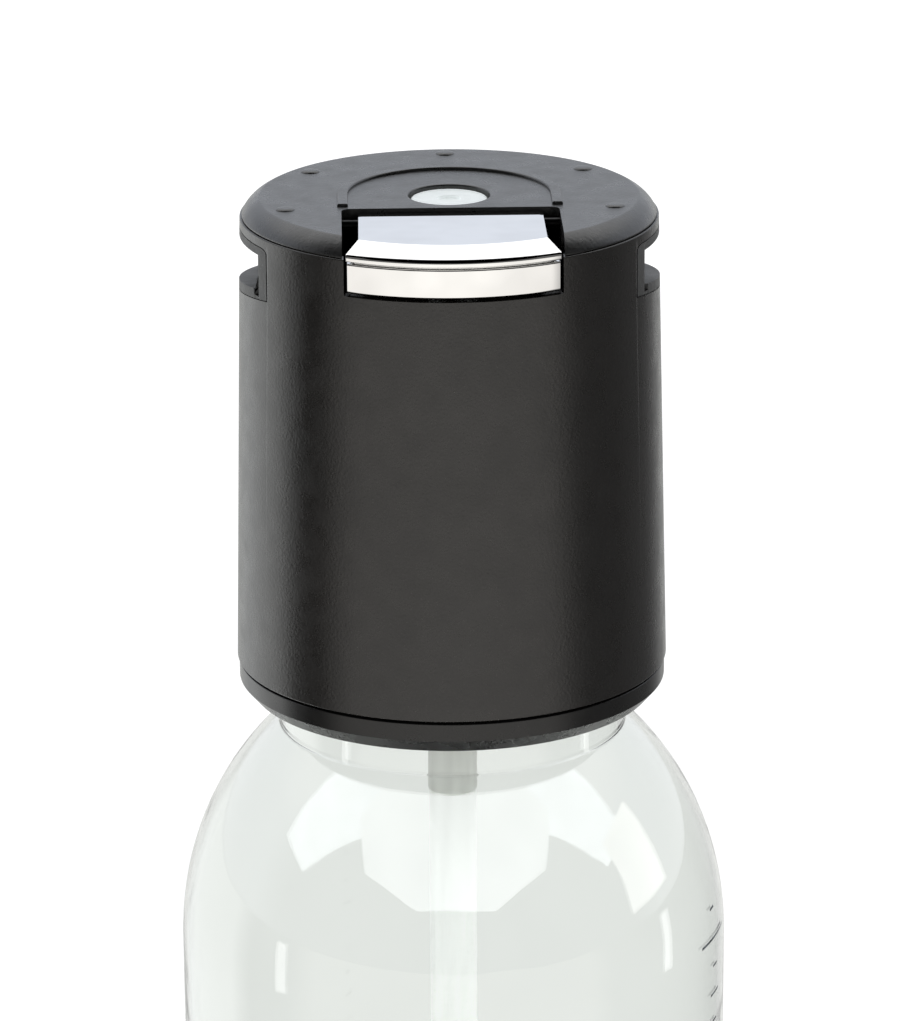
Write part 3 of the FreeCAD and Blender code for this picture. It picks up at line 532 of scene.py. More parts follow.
@dataclass(frozen=True)
class Chrome:
    """Bright plating over moulded plastic, with the faint waviness of its base."""

    name: str
    tint: Colour
    roughness: float

    def material(self) -> bpy.types.Material:
        """Build a metal whose roughness is broken up by hairlines and dust."""
        graph = Graph(self.name)
        wave = graph.noise(6.0, detail=1.0)
        dust = graph.span(graph.noise(0.5, detail=2.0), 0.68, 0.8, 0.0, 1.0)
        hairs = graph.noise(0.25, detail=1.0, place=graph.stretched((0.03, 1.0, 1.0)))
        rough = graph.span(graph.summed(dust, hairs, 0.25), 0.1, 1.2, self.roughness, self.roughness + 0.05)
        darker = tuple(0.93 * part for part in self.tint)
        colour = graph.mixed(graph.span(wave, 0.35, 0.65, 0.0, 1.0), self.tint, darker)
        return graph.surface(Base_Color=colour, Metallic=1.0, Roughness=rough,
                             Normal=graph.relief(wave, 0.004, 0.35))


@dataclass(frozen=True)
class ClearPlastic:
    """Blown clear plastic: slightly wavy, faintly tinted, with a few scuffs."""

    name: str
    tint: Colour
    index: float

    def material(self) -> bpy.types.Material:
        """Build a transmitting surface with long waves and sparse scuffs."""
        graph = Graph(self.name)
        waves = graph.noise(22.0, detail=2.0, distortion=0.6)
        ripples = graph.noise(5.0, detail=1.0, place=graph.stretched((1.0, 1.0, 0.25)))
        scuffs = graph.span(graph.noise(0.7, detail=2.0), 0.74, 0.8, 0.0, 0.25)
        normal = graph.relief(ripples, 0.01, 0.5, below=graph.relief(waves, 0.12, 0.8))
        clear = tuple(min(1.0, part + 0.015) for part in self.tint)
        colour = graph.mixed(graph.span(waves, 0.3, 0.7, 0.0, 1.0), self.tint, clear)
        return graph.surface(Base_Color=colour, Roughness=scuffs, IOR=self.index,
                             Transmission_Weight=1.0, Normal=normal)


@dataclass(frozen=True)
class MilkyPlastic:
    """Pale moulding with flow marks and a painted glow: an even emission of its own colour that brightens the
    whole piece.
    """

    name: str
    tint: Colour
    roughness: float
    glow: float = 0.0
    depth: float = 0.01

    def material(self) -> bpy.types.Material:
        """Build a soft plastic with streaks along the piece and a faint grain."""
        graph = Graph(self.name)
        streaks = graph.noise(1.6, detail=2.0, place=graph.stretched((1.0, 1.0, 0.08)))
        grain = graph.noise(0.35, detail=2.0)
        darker = tuple(0.9 * part for part in self.tint)
        colour = graph.mixed(graph.span(streaks, 0.3, 0.7, 0.0, 1.0), darker, self.tint)
        rough = graph.span(grain, 0.3, 0.7, self.roughness - 0.05, self.roughness + 0.05)
        marks = graph.summed(grain, streaks, 0.6)
        # The emission is a painted glow, even over the whole piece, that brightens it; glow sets its
        # strength.
        return graph.surface(Base_Color=colour, Roughness=rough, Emission_Color=colour,
                             Emission_Strength=self.glow, Normal=graph.relief(marks, self.depth))


@dataclass(frozen=True)
class TurnedMetal:
    """Bright steel or brass with fine tool marks round the piece."""

    name: str
    tint: Colour
    roughness: float

    def material(self) -> bpy.types.Material:
        """Build a metal with fine rings and a little tarnish."""
        graph = Graph(self.name)
        rings = graph.noise(0.12, detail=2.0, place=graph.stretched((0.04, 0.04, 1.0)))
        tarnish = graph.noise(2.0, detail=4.0)
        darker = tuple(0.72 * part for part in self.tint)
        colour = graph.mixed(graph.span(tarnish, 0.45, 0.7, 0.0, 1.0), self.tint, darker)
        rough = graph.span(tarnish, 0.3, 0.7, self.roughness, self.roughness + 0.15)
        return graph.surface(Base_Color=colour, Metallic=1.0, Roughness=rough,
                             Normal=graph.relief(rings, 0.01))


@dataclass(frozen=True)
class Rubber:
    """Matt sealing rubber with a bloom."""

    name: str
    tint: Colour

    def material(self) -> bpy.types.Material:
        """Build a dull dark surface with a mottled bloom."""
        graph = Graph(self.name)
        bloom = graph.noise(1.2, detail=5.0, roughness=0.7)
        pale = tuple(2.2 * part + 0.01 for part in self.tint)
        colour = graph.mixed(graph.span(bloom, 0.4, 0.75, 0.0, 1.0), self.tint, pale)
        rough = graph.span(bloom, 0.3, 0.7, 0.62, 0.8)
        return graph.surface(Base_Color=colour, Roughness=rough, Normal=graph.relief(bloom, 0.02, 0.6))


SHELL_BLACK = GrainedPlastic("shell_black", dark=(0.0092, 0.0080, 0.0072), light=(0.0130, 0.0112, 0.0102),
                             grain=0.34, depth=0.030, roughness=0.28, shine=0.62)
LID_BLACK = GrainedPlastic("lid_black", dark=(0.012, 0.012, 0.012), light=(0.020, 0.020, 0.020),
                           grain=0.36, depth=0.036, roughness=0.29, shine=0.85)
RAIL_GREY = GrainedPlastic("rail_grey", dark=(0.040, 0.040, 0.040), light=(0.070, 0.070, 0.070),
                           grain=0.55, depth=0.050, roughness=0.50)
RING_BLACK = GrainedPlastic("ring_black", dark=(0.0064, 0.0060, 0.0058), light=(0.0094, 0.0090, 0.0088),
                            grain=0.25, depth=0.003, roughness=0.28)
CUP_BLACK = GrainedPlastic("cup_black", dark=(0.010, 0.010, 0.010), light=(0.016, 0.016, 0.016),
                           grain=0.40, depth=0.015, roughness=0.38)
PLATING = Chrome("plating", (0.93, 0.93, 0.925), 0.015)
BOTTLE_CLEAR = ClearPlastic("bottle_clear", (0.965, 0.98, 0.97), 1.50)
# The last number of the sleeve, tube and disc finishes is the strength of their painted glow.
SLEEVE_GREY = MilkyPlastic("sleeve_grey", (0.86, 0.87, 0.82), 0.42, 0.06)
TUBE_PALE = MilkyPlastic("tube_pale", (0.94, 0.95, 0.92), 0.30, 0.16)
DISC_WHITE = MilkyPlastic("disc_white", (0.86, 0.91, 0.91), 0.32, 0.42)
INNER_WHITE = MilkyPlastic("inner_white", (0.62, 0.62, 0.60), 0.45)
SEAL_BLACK = Rubber("seal_black", (0.012, 0.012, 0.012))
STEEL = TurnedMetal("steel", (0.62, 0.62, 0.63), 0.22)
# Near-black steel for the lever pin, which keeps the pin dark in the gaps beside the lever.
DARK_STEEL = TurnedMetal("dark_steel", (0.035, 0.035, 0.036), 0.30)
PRINT_INK = Rubber("print_ink", (0.10, 0.11, 0.12))


def deliver(piece: bpy.types.Object, finish: Finish, body: Body, slot: str, *nodes: str) -> bpy.types.Object:
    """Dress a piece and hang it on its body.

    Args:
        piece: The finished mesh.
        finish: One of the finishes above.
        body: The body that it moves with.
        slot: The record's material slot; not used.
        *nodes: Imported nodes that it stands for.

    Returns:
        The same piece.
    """
    material = bpy.data.materials.get(finish.name) or finish.material()
    piece.data.materials.clear()
    piece.data.materials.append(material)
    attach(piece, body.value)
    if nodes:
        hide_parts(*nodes)
    LOG.info("%s: %d faces, rides %s", piece.name, len(piece.data.polygons), body.value)
    return piece


# ------------------------------------------------------------------ bottle
@dataclass
class Bottle:
    """Clear blown bottle with its base cup and printed fill scale."""

    height: float = field(default_factory=lambda: node_high("bottle"))
    radius: float = field(default_factory=lambda: node_radius("bottle"))
    wall: float = 1.0
    foot_radius: float = 43.4
    foot_top: float = 34.2
    foot_low: float = 2.2
    dome_depth: float = 20.0
    shoulder_low: float = 178.1
    shoulder_rise: float = 48.4
    collar_radius: float = 28.3
    collar_top: float = 224.0
    neck_radius: float = 27.0
    neck_wall: float = 2.2
    thread_pitch: float = 4.5
    thread_turns: float = 1.25
    thread_low: float = 231.6
    thread_half: float = 1.1
    thread_flank: float = 0.6
    thread_fade: float = 12.0
    collar_thinning: float = 1.3
    ring_step: float = 0.2
    cup_height: float = field(default_factory=lambda: node_high("base_cup"))
    cup_wall: float = 1.4
    cup_floor: float = 2.0
    seat_radius: float = 30.0
    seat_top: float = 7.4
    tread_radius: float = 37.0
    ticks: int = 28
    full_tick: int = 26
    tick_low: float = 54.0
    tick_gap: float = 4.9
    tick_height: float = 0.45
    scale_azimuth: float = -19.0

    def skin(self, inset: float) -> list[Point]:
        """Half outline from the bottom's middle up to the neck, moved inwards.

        Args:
            inset: How far inside the outer surface the outline lies.

        Returns:
            The (radius, height) points.
        """
        dome_top = self.foot_low + self.dome_depth
        collar = self.collar_radius - self.collar_thinning * inset
        step = self.foot_top + inset
        points = ellipse((0.0, dome_top), self.foot_radius - inset, self.dome_depth - inset, -90, 0, 40)
        foot, body = self.foot_radius - inset, self.radius - inset
        points += rounded([points[-1], (foot, step, 0.6), (body, step, 0.6), (body, self.shoulder_low)],
                          closed=False)[1:]
        share = math.degrees(math.acos(collar / (self.radius - inset)))
        points += ellipse((0.0, self.shoulder_low), self.radius - inset, self.shoulder_rise - inset,
                          0, share, 90)[1:]
        return points

    def ridge(self, angle: float, height: float) -> float:
        """Outward offset of the thread on the neck.

        Args:
            angle: Place round the axis in radians.
            height: Height in millimetres.

        Returns:
            The offset in millimetres.
        """
        offset = 0.0
        for turn in range(math.ceil(self.thread_turns) + 1):
            along = turn + angle / (2 * math.pi)
            if along <= self.thread_turns:
                away = abs(height - self.thread_low - self.thread_pitch * along)
                fade = min(1.0, along * self.thread_fade, (self.thread_turns - along) * self.thread_fade)
                flank = min(1.0, max(0.0, (self.thread_half - away) / self.thread_flank))
                offset = max(offset, fade * flank * (self.collar_radius - self.neck_radius))
        return offset

    def build(self) -> None:
        """Make the bottle, the cup and the scale."""
        outside = self.skin(0.0)
        neck = [(self.collar_radius, self.collar_top, 0.4), (self.neck_radius, self.collar_top, 0.3)]
        outside += rounded([outside[-1], *neck, (self.neck_radius, self.collar_top + 1)], closed=False)[1:]
        steps = int((self.height - self.collar_top - 2) / self.ring_step)
        outside += [(self.neck_radius, self.collar_top + 1 + self.ring_step * step)
                    for step in range(1, steps)]
        inner = self.neck_radius - self.neck_wall
        collar_inner = self.collar_radius - self.collar_thinning * self.wall
        outside += rounded([outside[-1], (self.neck_radius, self.height, 0.6), (inner, self.height, 0.6),
                            (inner, self.height - 2), (inner, self.collar_top + 2, 1.0),
                            (collar_inner, self.collar_top, 1.0), (collar_inner, self.collar_top - 1)],
                           closed=False)[1:]
        inside = list(reversed(self.skin(self.wall)))
        bottle = lathe("bottle_body", outside + inside, closed=False, shift=self.outer_shift)
        deliver(even_normals(bottle), BOTTLE_CLEAR, Body.BOTTLE, "clear_bottle", "bottle")
        self.build_cup()
        self.build_scale()

    def outer_shift(self, angle: float, height: float) -> float:
        """Thread ridge on the neck's outside only."""
        if height < self.collar_top + 1 or height > self.height - 1.5:
            return 0.0
        return self.ridge(angle, height)

    def build_cup(self) -> None:
        """Make the boot that the rounded bottle stands in."""
        bore, lip = self.radius - self.cup_wall, self.radius - 0.25
        seat_out, seat_in = self.seat_radius + 1.0, self.seat_radius - 1.0
        hollow = 0.35
        outline = rounded([(0.0, hollow), (self.tread_radius - 1.0, hollow), (self.tread_radius, 0.0, 0.3),
                           (self.radius, 0.0, 2.4), (self.radius, self.cup_height - 3.2, 0.15),
                           (lip, self.cup_height - 3.0, 0.1), (lip, self.cup_height, 0.3),
                           (bore, self.cup_height, 0.3), (bore, self.cup_floor, 1.2),
                           (seat_out, self.cup_floor, 0.3), (seat_out, self.seat_top, 0.3),
                           (seat_in, self.seat_top, 0.3), (seat_in, self.cup_floor, 0.3),
                           (0.0, self.cup_floor)], closed=False)
        cup = lathe("base_cup_moulding", outline, closed=False)
        deliver(even_normals(cup), CUP_BLACK, Body.BOTTLE, "black_moulding", "base_cup")

    def build_scale(self) -> None:
        """Print a plain tick scale on the right side of the body."""
        mesh = bmesh.new()
        for tick in range(self.ticks):
            half = math.radians(8.0 if tick == self.full_tick else 2.9 if tick % 4 == 0 else 1.4)
            low = self.tick_low + self.tick_gap * tick
            rows = []
            for z in (low, low + self.tick_height):
                lift = max(0.0, z - self.shoulder_low) / self.shoulder_rise
                reach = self.radius * math.sqrt(1 - lift ** 2) - 0.02
                turns = (math.radians(self.scale_azimuth) + half * (step / 4 - 1) for step in range(9))
                rows.append([mesh.verts.new((reach * math.cos(a), reach * math.sin(a), z)) for a in turns])
            for step in range(8):
                mesh.faces.new((rows[0][step], rows[0][step + 1], rows[1][step + 1], rows[1][step]))
        scale = new_piece("fill_scale", mesh)
        thick = scale.modifiers.new("thick", "SOLIDIFY")
        thick.thickness = 0.03 * MM
        thick.offset = 0.0
        deliver(scale, PRINT_INK, Body.BOTTLE, "clear_bottle")


# ------------------------------------------------------------------ dip tube
@dataclass
class DipTube:
    """Sleeve under the infuser and the tube that hangs from it."""

    sleeve_radius: float = 4.05
    tube_radius: float = 3.9
    bore: float = 1.5
    spigot: float = 3.0
    flange: float = 6.0
    flange_height: float = 1.8
    plug: float = 10.0

    def build(self) -> None:
        """Make the sleeve with its spigots and the plain tube that plugs on it."""
        top = node_high("tube_holder")
        joint = node_high("dip_tube")
        end = node_low("dip_tube")
        flange_top = node_low("valve_body") - 0.2
        sleeve = rounded([(self.bore, joint - self.plug), (self.spigot, joint - self.plug, 0.4),
                          (self.spigot, joint), (self.sleeve_radius, joint, 0.2),
                          (self.sleeve_radius, flange_top - self.flange_height, 0.5),
                          (self.flange, flange_top - self.flange_height, 0.3), (self.flange, flange_top, 0.3),
                          (self.spigot, flange_top, 0.2), (self.spigot, top, 0.4), (self.bore, top)])
        piece = lathe("tube_sleeve", sleeve, turns=96)
        deliver(even_normals(piece), SLEEVE_GREY, Body.GAS_TUBE, "tube_sleeve", "tube_holder")
        bore = self.spigot + 0.05
        top = joint - 0.08
        tube = rounded([(bore, end, 0.2), (self.tube_radius, end, 0.3), (self.tube_radius, top, 0.25),
                        (bore, top)])
        piece = lathe("gas_dip_tube", tube, turns=96)
        deliver(even_normals(piece), TUBE_PALE, Body.GAS_TUBE, "tube_plastic", "dip_tube")


# ------------------------------------------------------------------ infuser
@dataclass
class Infuser:
    """Skirt, rails, lid, ring and white disc of the infuser."""

    radius: float = field(default_factory=lambda: node_radius("outer_shell"))
    top_radius: float = 33.35
    height: float = 73.6
    wall: float = 2.0
    slot_half: float = 17.15
    slot_inset: float = 0.2
    slot_back: float = 8.5
    slot_floor: float = 67.85
    rail_face: float = 28.9
    rail_floor: float = 30.3
    rail_wall: float = 1.4
    rail_top: float = 72.15
    rail_flange: float = 1.45
    shelf_level: float = 63.3
    shelf_thickness: float = 1.7
    shelf_slope: float = -0.128
    gap: float = 0.14
    cover_top: float = 76.5
    flat_radius: float = 30.2
    edge_radius: float = 33.0
    cover_bow: float = 0.35
    cover_wall: float = 2.0
    inlet_radius: float = 6.48
    boss_radius: float = 10.7
    boss_bore: float = 9.3
    boss_depth: float = 2.5
    deck_radius: float = 31.0
    deck_thickness: float = 2.5
    ring_radius: float = 34.7
    ring_foot_radius: float = 32.74
    ring_opening: float = 29.2
    ring_top: float = -0.45
    ring_face: float = -3.34
    ring_foot: float = -5.61
    disc_radius: float = 6.1
    disc_depth: float = 5.4
    stem_radius: float = 2.5

    def side_block(self, name: str, side: int, near: float, floor: float, top: float,
                   rounding: float = 0.0) -> bpy.types.Object:
        """A block on one side whose floor slopes like the rail's shelf.

        Args:
            name: Name of the piece.
            side: 1 for +X and -1 for -X.
            near: Distance of its inner face from the middle.
            floor: Height of its floor at mid length, above the seam.
            top: Height of its top, above the seam.
            rounding: Radius of its upper inner edge.

        Returns:
            The block.
        """
        far, reach = 60.0, 45.0
        ends = []
        for y in (-reach, reach):
            low = up(floor + self.shelf_slope * y)
            outline = rounded([(near, low), (far, low), (far, up(top)), (near, up(top), rounding)])
            ends.append([Vector((side * x, y, z)) for x, z in outline])
        return loft(name, *ends)

    def build(self) -> None:
        """Make the four mouldings and the white disc."""
        self.build_shell()
        self.build_rails()
        self.build_cover()
        self.build_ring()
        self.build_button()

    def build_shell(self) -> None:
        """Make the tapered skirt with its three openings."""
        outline = rounded(raised([(self.radius, 0.0, 0.25), (self.top_radius, self.height, 0.2),
                                  (self.top_radius - self.wall, self.height, 0.2),
                                  (self.radius - self.wall, 0.0, 0.2)]))
        shell = lathe("skirt", outline, turns=2 * TURNS)
        half = self.slot_half - self.slot_inset
        slot = rounded([(-half, up(self.slot_floor), 0.35), (half, up(self.slot_floor), 0.35),
                        (half, up(90.0)), (-half, up(90.0))])
        combine(shell, prism_back("slot", slot, -60.0, -5.0), Cut.TAKE)
        for side in (-1, 1):
            window = self.side_block("window", side, self.rail_face, self.shelf_level - self.shelf_thickness,
                                     self.rail_top, 0.9)
            combine(shell, window, Cut.TAKE)
        deliver(soften(shell, 0.16), SHELL_BLACK, Body.INFUSER, "black_moulding", "outer_shell")

    def build_rails(self) -> None:
        """Make the deck with the two C rails that show in the skirt's windows."""
        deck_low = node_low("rail_frame")
        deck_top = deck_low + self.deck_thickness
        sides = []
        for side in (-1, 1):
            rail = self.side_block("rail", side, self.rail_face + self.gap,
                                   self.shelf_level - self.shelf_thickness + self.gap,
                                   self.rail_top - self.gap, 0.8)
            low, high = 40.0, 80.0
            cone = raised([(0.0, low), (self.skirt_radius(low), low),
                           (self.skirt_radius(high), high), (0.0, high)])
            combine(rail, lathe("cone", cone, turns=2 * TURNS, closed=False), Cut.KEEP_SHARED)
            near, far = sorted((side * (self.rail_face - self.rail_wall), side * self.rail_floor))
            wall = block("wall", (near, -40.0, deck_top - 0.2), (far, 40.0, up(self.rail_top - self.gap)))
            inner = self.top_radius - self.wall - self.gap
            drum = raised([(0.0, low), (inner, low), (inner, high), (0.0, high)])
            combine(wall, lathe("drum", drum, closed=False), Cut.KEEP_SHARED)
            combine(rail, wall, Cut.JOIN)
            groove = self.side_block("groove", side, self.rail_floor, self.shelf_level,
                                     self.rail_top - self.rail_flange)
            combine(rail, groove, Cut.TAKE)
            end = math.sqrt(self.top_radius ** 2 - self.rail_floor ** 2)
            low_x, high_x = sorted((side * (self.rail_floor - 0.05), side * (self.rail_floor + 0.9)))
            notch = block("notch", (low_x, -end - 3.0, up(self.shelf_level + 0.7)),
                          (high_x, 1.1 - end, up(self.shelf_level + 4.0)))
            combine(rail, notch, Cut.TAKE)
            sides.append(rail)
        disc = rounded([(self.boss_bore, deck_low, 0.2), (self.deck_radius, deck_low, 0.2),
                        (self.deck_radius, deck_top, 0.2), (self.boss_bore, deck_top, 0.2)])
        deck = lathe("deck", disc)
        for rail in sides:
            combine(deck, rail, Cut.JOIN)
        deck.name = "rails_and_deck"
        deliver(soften(deck, 0.12, angle=40.0), RAIL_GREY, Body.INFUSER, "grey_moulding", "rail_frame")

    def skirt_radius(self, height: float) -> float:
        """Outer radius of the skirt at a height above the seam."""
        return self.radius - (self.radius - self.top_radius) * height / self.height

    def build_cover(self) -> None:
        """Make the lid with its bevel, slot, arch and pips."""
        bevel = self.rim_curve()
        spigot = self.top_radius - self.wall - self.gap
        low = self.height + self.gap
        rim_wall = 1.2
        foot = self.height - rim_wall
        under = self.cover_top - self.cover_wall
        boss_foot = under - self.boss_depth
        lid_top = rounded(raised([(self.inlet_radius, self.cover_top - 1.0),
                                  (self.inlet_radius, self.cover_top, 0.3),
                                  (self.flat_radius - 0.2, self.cover_top),
                                  (self.flat_radius, self.cover_top)]), closed=False)
        lid_low = raised([(self.edge_radius, low), (spigot, low), (spigot, foot), (spigot - rim_wall, foot),
                          (spigot - rim_wall, under), (self.boss_radius, under),
                          (self.boss_radius, boss_foot), (self.boss_bore, boss_foot),
                          (self.boss_bore, under), (self.inlet_radius, under)])
        lid = lathe("lid", lid_top + bevel + lid_low, turns=2 * TURNS)
        slot = rounded([(-self.slot_half, -self.slot_back, 1.5), (-self.slot_half, -60.0),
                        (self.slot_half, -60.0), (self.slot_half, -self.slot_back, 1.5)], steps=8)
        combine(lid, prism_up("slot", slot, up(50.0), up(90.0)), Cut.TAKE)
        for side in (-1, 1):
            lug_low, lug_reach = 71.0, 2.25
            near, far = sorted((side * self.slot_half, side * (self.slot_half + lug_reach)))
            lug = block("lug", (near, PIN_Y - lug_reach, up(lug_low)), (far, -6.25, up(under + 0.5)))
            combine(lug, cross_rod("bore", PIN_RADIUS, 18.75, PIN_Y, up(PIN_LEVEL)), Cut.TAKE)
            combine(lid, lug, Cut.JOIN)
        deliver(soften(lid, 0.22, angle=38.0), LID_BLACK, Body.INFUSER, "black_moulding", "top_cover")
        self.build_arch()
        self.build_pips()

    def rim_curve(self) -> list[Point]:
        """The lid's bevel, bowed outwards between the flat and the rim."""
        start = Vector((self.flat_radius, up(self.cover_top)))
        end = Vector((self.edge_radius, up(self.height + 0.3)))
        across = (end - start).normalized()
        pull = (start + end) / 2 + Vector((-across.y, across.x)) * 2 * self.cover_bow
        points = []
        for share in (0.06, *(step / 12 for step in range(1, 12)), 0.96, 1.0):
            points.append(tuple((1 - share) ** 2 * start + 2 * share * (1 - share) * pull + share ** 2 * end))
        return points

    def build_arch(self) -> None:
        """Make the raised arch round the inlet, swept along its path."""
        middle, width, height, leg, sunk = 16.95, 1.7, 0.45, 7.0, 0.4
        section = rounded([(-width / 2, -sunk), (-width / 2, height, 0.28), (width / 2, height, 0.28),
                           (width / 2, -sunk)], closed=False)
        path = [(middle, -leg)] + arc((0.0, 0.0), middle, 0.0, 180.0, 96) + [(-middle, -leg)]
        mesh = bmesh.new()
        rings = []
        for x, y in path:
            outward = Vector((x, max(y, 0.0), 0.0)).normalized()
            base = Vector((x, y, up(self.cover_top)))
            rings.append([mesh.verts.new(base + outward * across + Vector((0, 0, rise)))
                          for across, rise in section])
        for first, second in zip(rings, rings[1:]):
            for index in range(len(section)):
                following = (index + 1) % len(section)
                mesh.faces.new((first[index], first[following], second[following], second[index]))
        mesh.faces.new(rings[0])
        mesh.faces.new(list(reversed(rings[-1])))
        arch = new_piece("lid_arch", mesh)
        deliver(soften(arch, 0.08, angle=50.0), LID_BLACK, Body.INFUSER, "black_moulding")

    def build_pips(self) -> None:
        """Make the five shallow pips near the lid's edge."""
        foot, rise, circle, count, between = 1.6, 0.3, 27.3, 5, 54
        top = up(self.cover_top)
        dome = [(0.0, top + rise), (0.6, top + 0.97 * rise), (1.05, top + 0.87 * rise),
                (1.32, top + 0.62 * rise), (1.48, top + 0.30 * rise), (foot, top),
                (foot, top - 0.3), (0.0, top - 0.3)]
        pips = []
        for place in range(count):
            pip = lathe("pip", dome, turns=48, closed=False)
            turn = math.radians(90 + between * (place - count // 2))
            shift = Vector((math.cos(turn), math.sin(turn), 0)) * circle * MM
            pip.data.transform(Matrix.Translation(shift))
            pips.append(pip)
        group = joined(pips)
        group.name = "lid_pips"
        group.data.polygons.foreach_set("use_smooth", [True] * len(group.data.polygons))
        deliver(even_normals(group), LID_BLACK, Body.INFUSER, "black_moulding")

    def build_ring(self) -> None:
        """Make the bevelled ring under the skirt."""
        spigot_radius, spigot_bore, spigot_top = 32.74, 31.4, 5.0
        outline = rounded(raised([(self.ring_opening, self.ring_foot, 0.4),
                                  (self.ring_foot_radius, self.ring_foot, 0.2),
                                  (self.ring_radius, self.ring_face, 0.18),
                                  (self.ring_radius, self.ring_top, 0.15),
                                  (spigot_radius + 0.11, self.ring_top),
                                  (spigot_radius, spigot_top, 0.3), (spigot_bore, spigot_top, 0.3),
                                  (spigot_bore + 0.05, self.ring_top, 0.2),
                                  (self.ring_opening, self.ring_top, 0.3)]))
        ring = lathe("foot_ring", outline, turns=2 * TURNS)
        deliver(even_normals(ring), RING_BLACK, Body.INFUSER, "black_ring", "base_ring")

    def build_button(self) -> None:
        """Make the white disc of the gas inlet with its stem."""
        top = node_high("inlet_button")
        low = node_low("inlet_button")
        shoulder, dimple = top - self.disc_depth, top - 0.5
        outline = rounded([(0.0, low), (self.stem_radius, low, 0.4), (self.stem_radius, shoulder, 0.4),
                           (self.disc_radius, shoulder, 0.3), (self.disc_radius, top, 0.35), (1.9, top, 0.2),
                           (1.7, dimple, 0.15), (0.0, dimple)], closed=False)
        button = lathe("inlet_disc", outline, turns=128, closed=False)
        deliver(even_normals(button), DISC_WHITE, Body.INLET, "white_disc", "inlet_button")


# ------------------------------------------------------------------ lever
@dataclass
class Lever:
    """Chrome release lever with its apron."""

    level: float = 75.85
    plate: float = 1.2
    half: float = 14.6
    back_half: float = 14.5
    lip_half: float = 16.6
    back: float = -9.2
    ridge: float = 29.0
    lip: float = 33.4
    lip_level: float = 74.4
    lip_foot: float = 73.3
    skirt: float = 31.6
    skirt_foot: float = 69.2
    apron: float = 33.2
    apron_half: float = 16.4
    apron_top: float = 73.0
    apron_foot: float = 68.25
    cheek_out: float = 14.45
    cheek_thickness: float = 1.05
    cheek_front: float = -25.2
    cheek_foot: float = 71.5
    fork_level: float = 70.7
    fork_y: float = -15.0
    prong_in: float = 1.35
    prong_out: float = 4.2

    def build(self) -> None:
        """Make the lever and the apron."""
        self.build_lever()
        self.build_apron()

    def build_lever(self) -> None:
        """Make the plate with its sloping lip, front wall, barrel and fork."""
        thin = self.skirt - 1.1
        outline = rounded([(0.0, up(self.level)), (self.ridge, up(self.level), 0.25),
                           (self.lip, up(self.lip_level), 0.75), (self.lip, up(self.lip_foot), 0.25),
                           (self.skirt, up(self.lip_foot), 0.1), (self.skirt, up(self.skirt_foot), 0.2),
                           (thin, up(self.skirt_foot), 0.2), (thin, up(self.lip_foot + 0.4), 0.4),
                           (self.ridge - 0.4, up(self.level - self.plate), 0.3),
                           (0.0, up(self.level - self.plate))], closed=False, steps=7)
        lever = lathe("release_plate", outline, turns=3 * TURNS, closed=False)
        ridge_y = -math.sqrt(self.ridge ** 2 - self.half ** 2)
        lip_y = -math.sqrt(self.lip ** 2 - self.lip_half ** 2)
        right = [(self.back_half, self.back, 0.9), (self.half, ridge_y), (self.lip_half, lip_y + 0.2),
                 (self.lip_half, -40.0)]
        left = [(-corner[0], *corner[1:]) for corner in reversed(right)]
        plan = prism_up("plan", rounded(right + left, steps=8), up(60.0), up(80.0))
        combine(lever, plan, Cut.KEEP_SHARED)
        deliver(soften(lever, 0.18, angle=40.0), PLATING, Body.LEVER, "chrome_plate", "release_lever")
        self.build_underside()

    def build_underside(self) -> None:
        """Make the hinge barrel, the side walls and the fork under the plate."""
        under = up(self.level - self.plate) + 0.3
        barrel = cross_rod("hinge_barrel", 1.2, self.back_half - 0.15, PIN_Y, up(PIN_LEVEL))
        combine(barrel, cross_rod("bore", PIN_RADIUS, 30.0, PIN_Y, up(PIN_LEVEL)), Cut.TAKE)
        front, back = self.fork_y - 2.3, self.fork_y + 2.2
        for side in (-1, 1):
            near, far = sorted((side * (self.cheek_out - self.cheek_thickness), side * self.cheek_out))
            cheek = block("cheek", (near, self.cheek_front, up(self.cheek_foot)),
                          (far, self.back - 0.1, under))
            combine(cheek, cross_rod("bore", PIN_RADIUS, 30.0, PIN_Y, up(PIN_LEVEL)), Cut.TAKE)
            combine(barrel, cheek, Cut.JOIN)
            near, far = sorted((side * self.prong_in, side * self.prong_out))
            prong = block("prong", (near, front, up(self.fork_level - 1.1)), (far, back, up(self.fork_level)))
            near, far = sorted((side * (self.prong_out - 1.0), side * self.prong_out))
            web = block("web", (near, front, up(self.fork_level - 0.3)), (far, back, under))
            combine(prong, web, Cut.JOIN)
            combine(barrel, prong, Cut.JOIN)
        deliver(soften(barrel, 0.1, segments=2, angle=40.0), PLATING, Body.LEVER, "chrome_plate")

    def build_apron(self) -> None:
        """Make the curved plate under the lip, with soft corners."""
        back = self.skirt + 0.15
        outline = rounded([(back, up(self.apron_foot), 0.15), (self.apron, up(self.apron_foot), 0.55),
                           (self.apron, up(self.apron_top), 0.3), (back, up(self.apron_top), 0.15)], steps=7)
        apron = lathe("apron", outline, turns=3 * TURNS)
        low, high = up(self.apron_foot - 0.2), up(self.apron_top + 0.2)
        window = rounded([(-self.apron_half, low, 0.75), (self.apron_half, low, 0.75),
                          (self.apron_half, high, 0.35), (-self.apron_half, high, 0.35)], steps=8)
        combine(apron, prism_back("window", window, -60.0, 0.0), Cut.KEEP_SHARED)
        soften(apron, 0.45, segments=5, angle=50.0)
        deliver(apron, PLATING, Body.LEVER, "chrome_plate", "lever_apron")


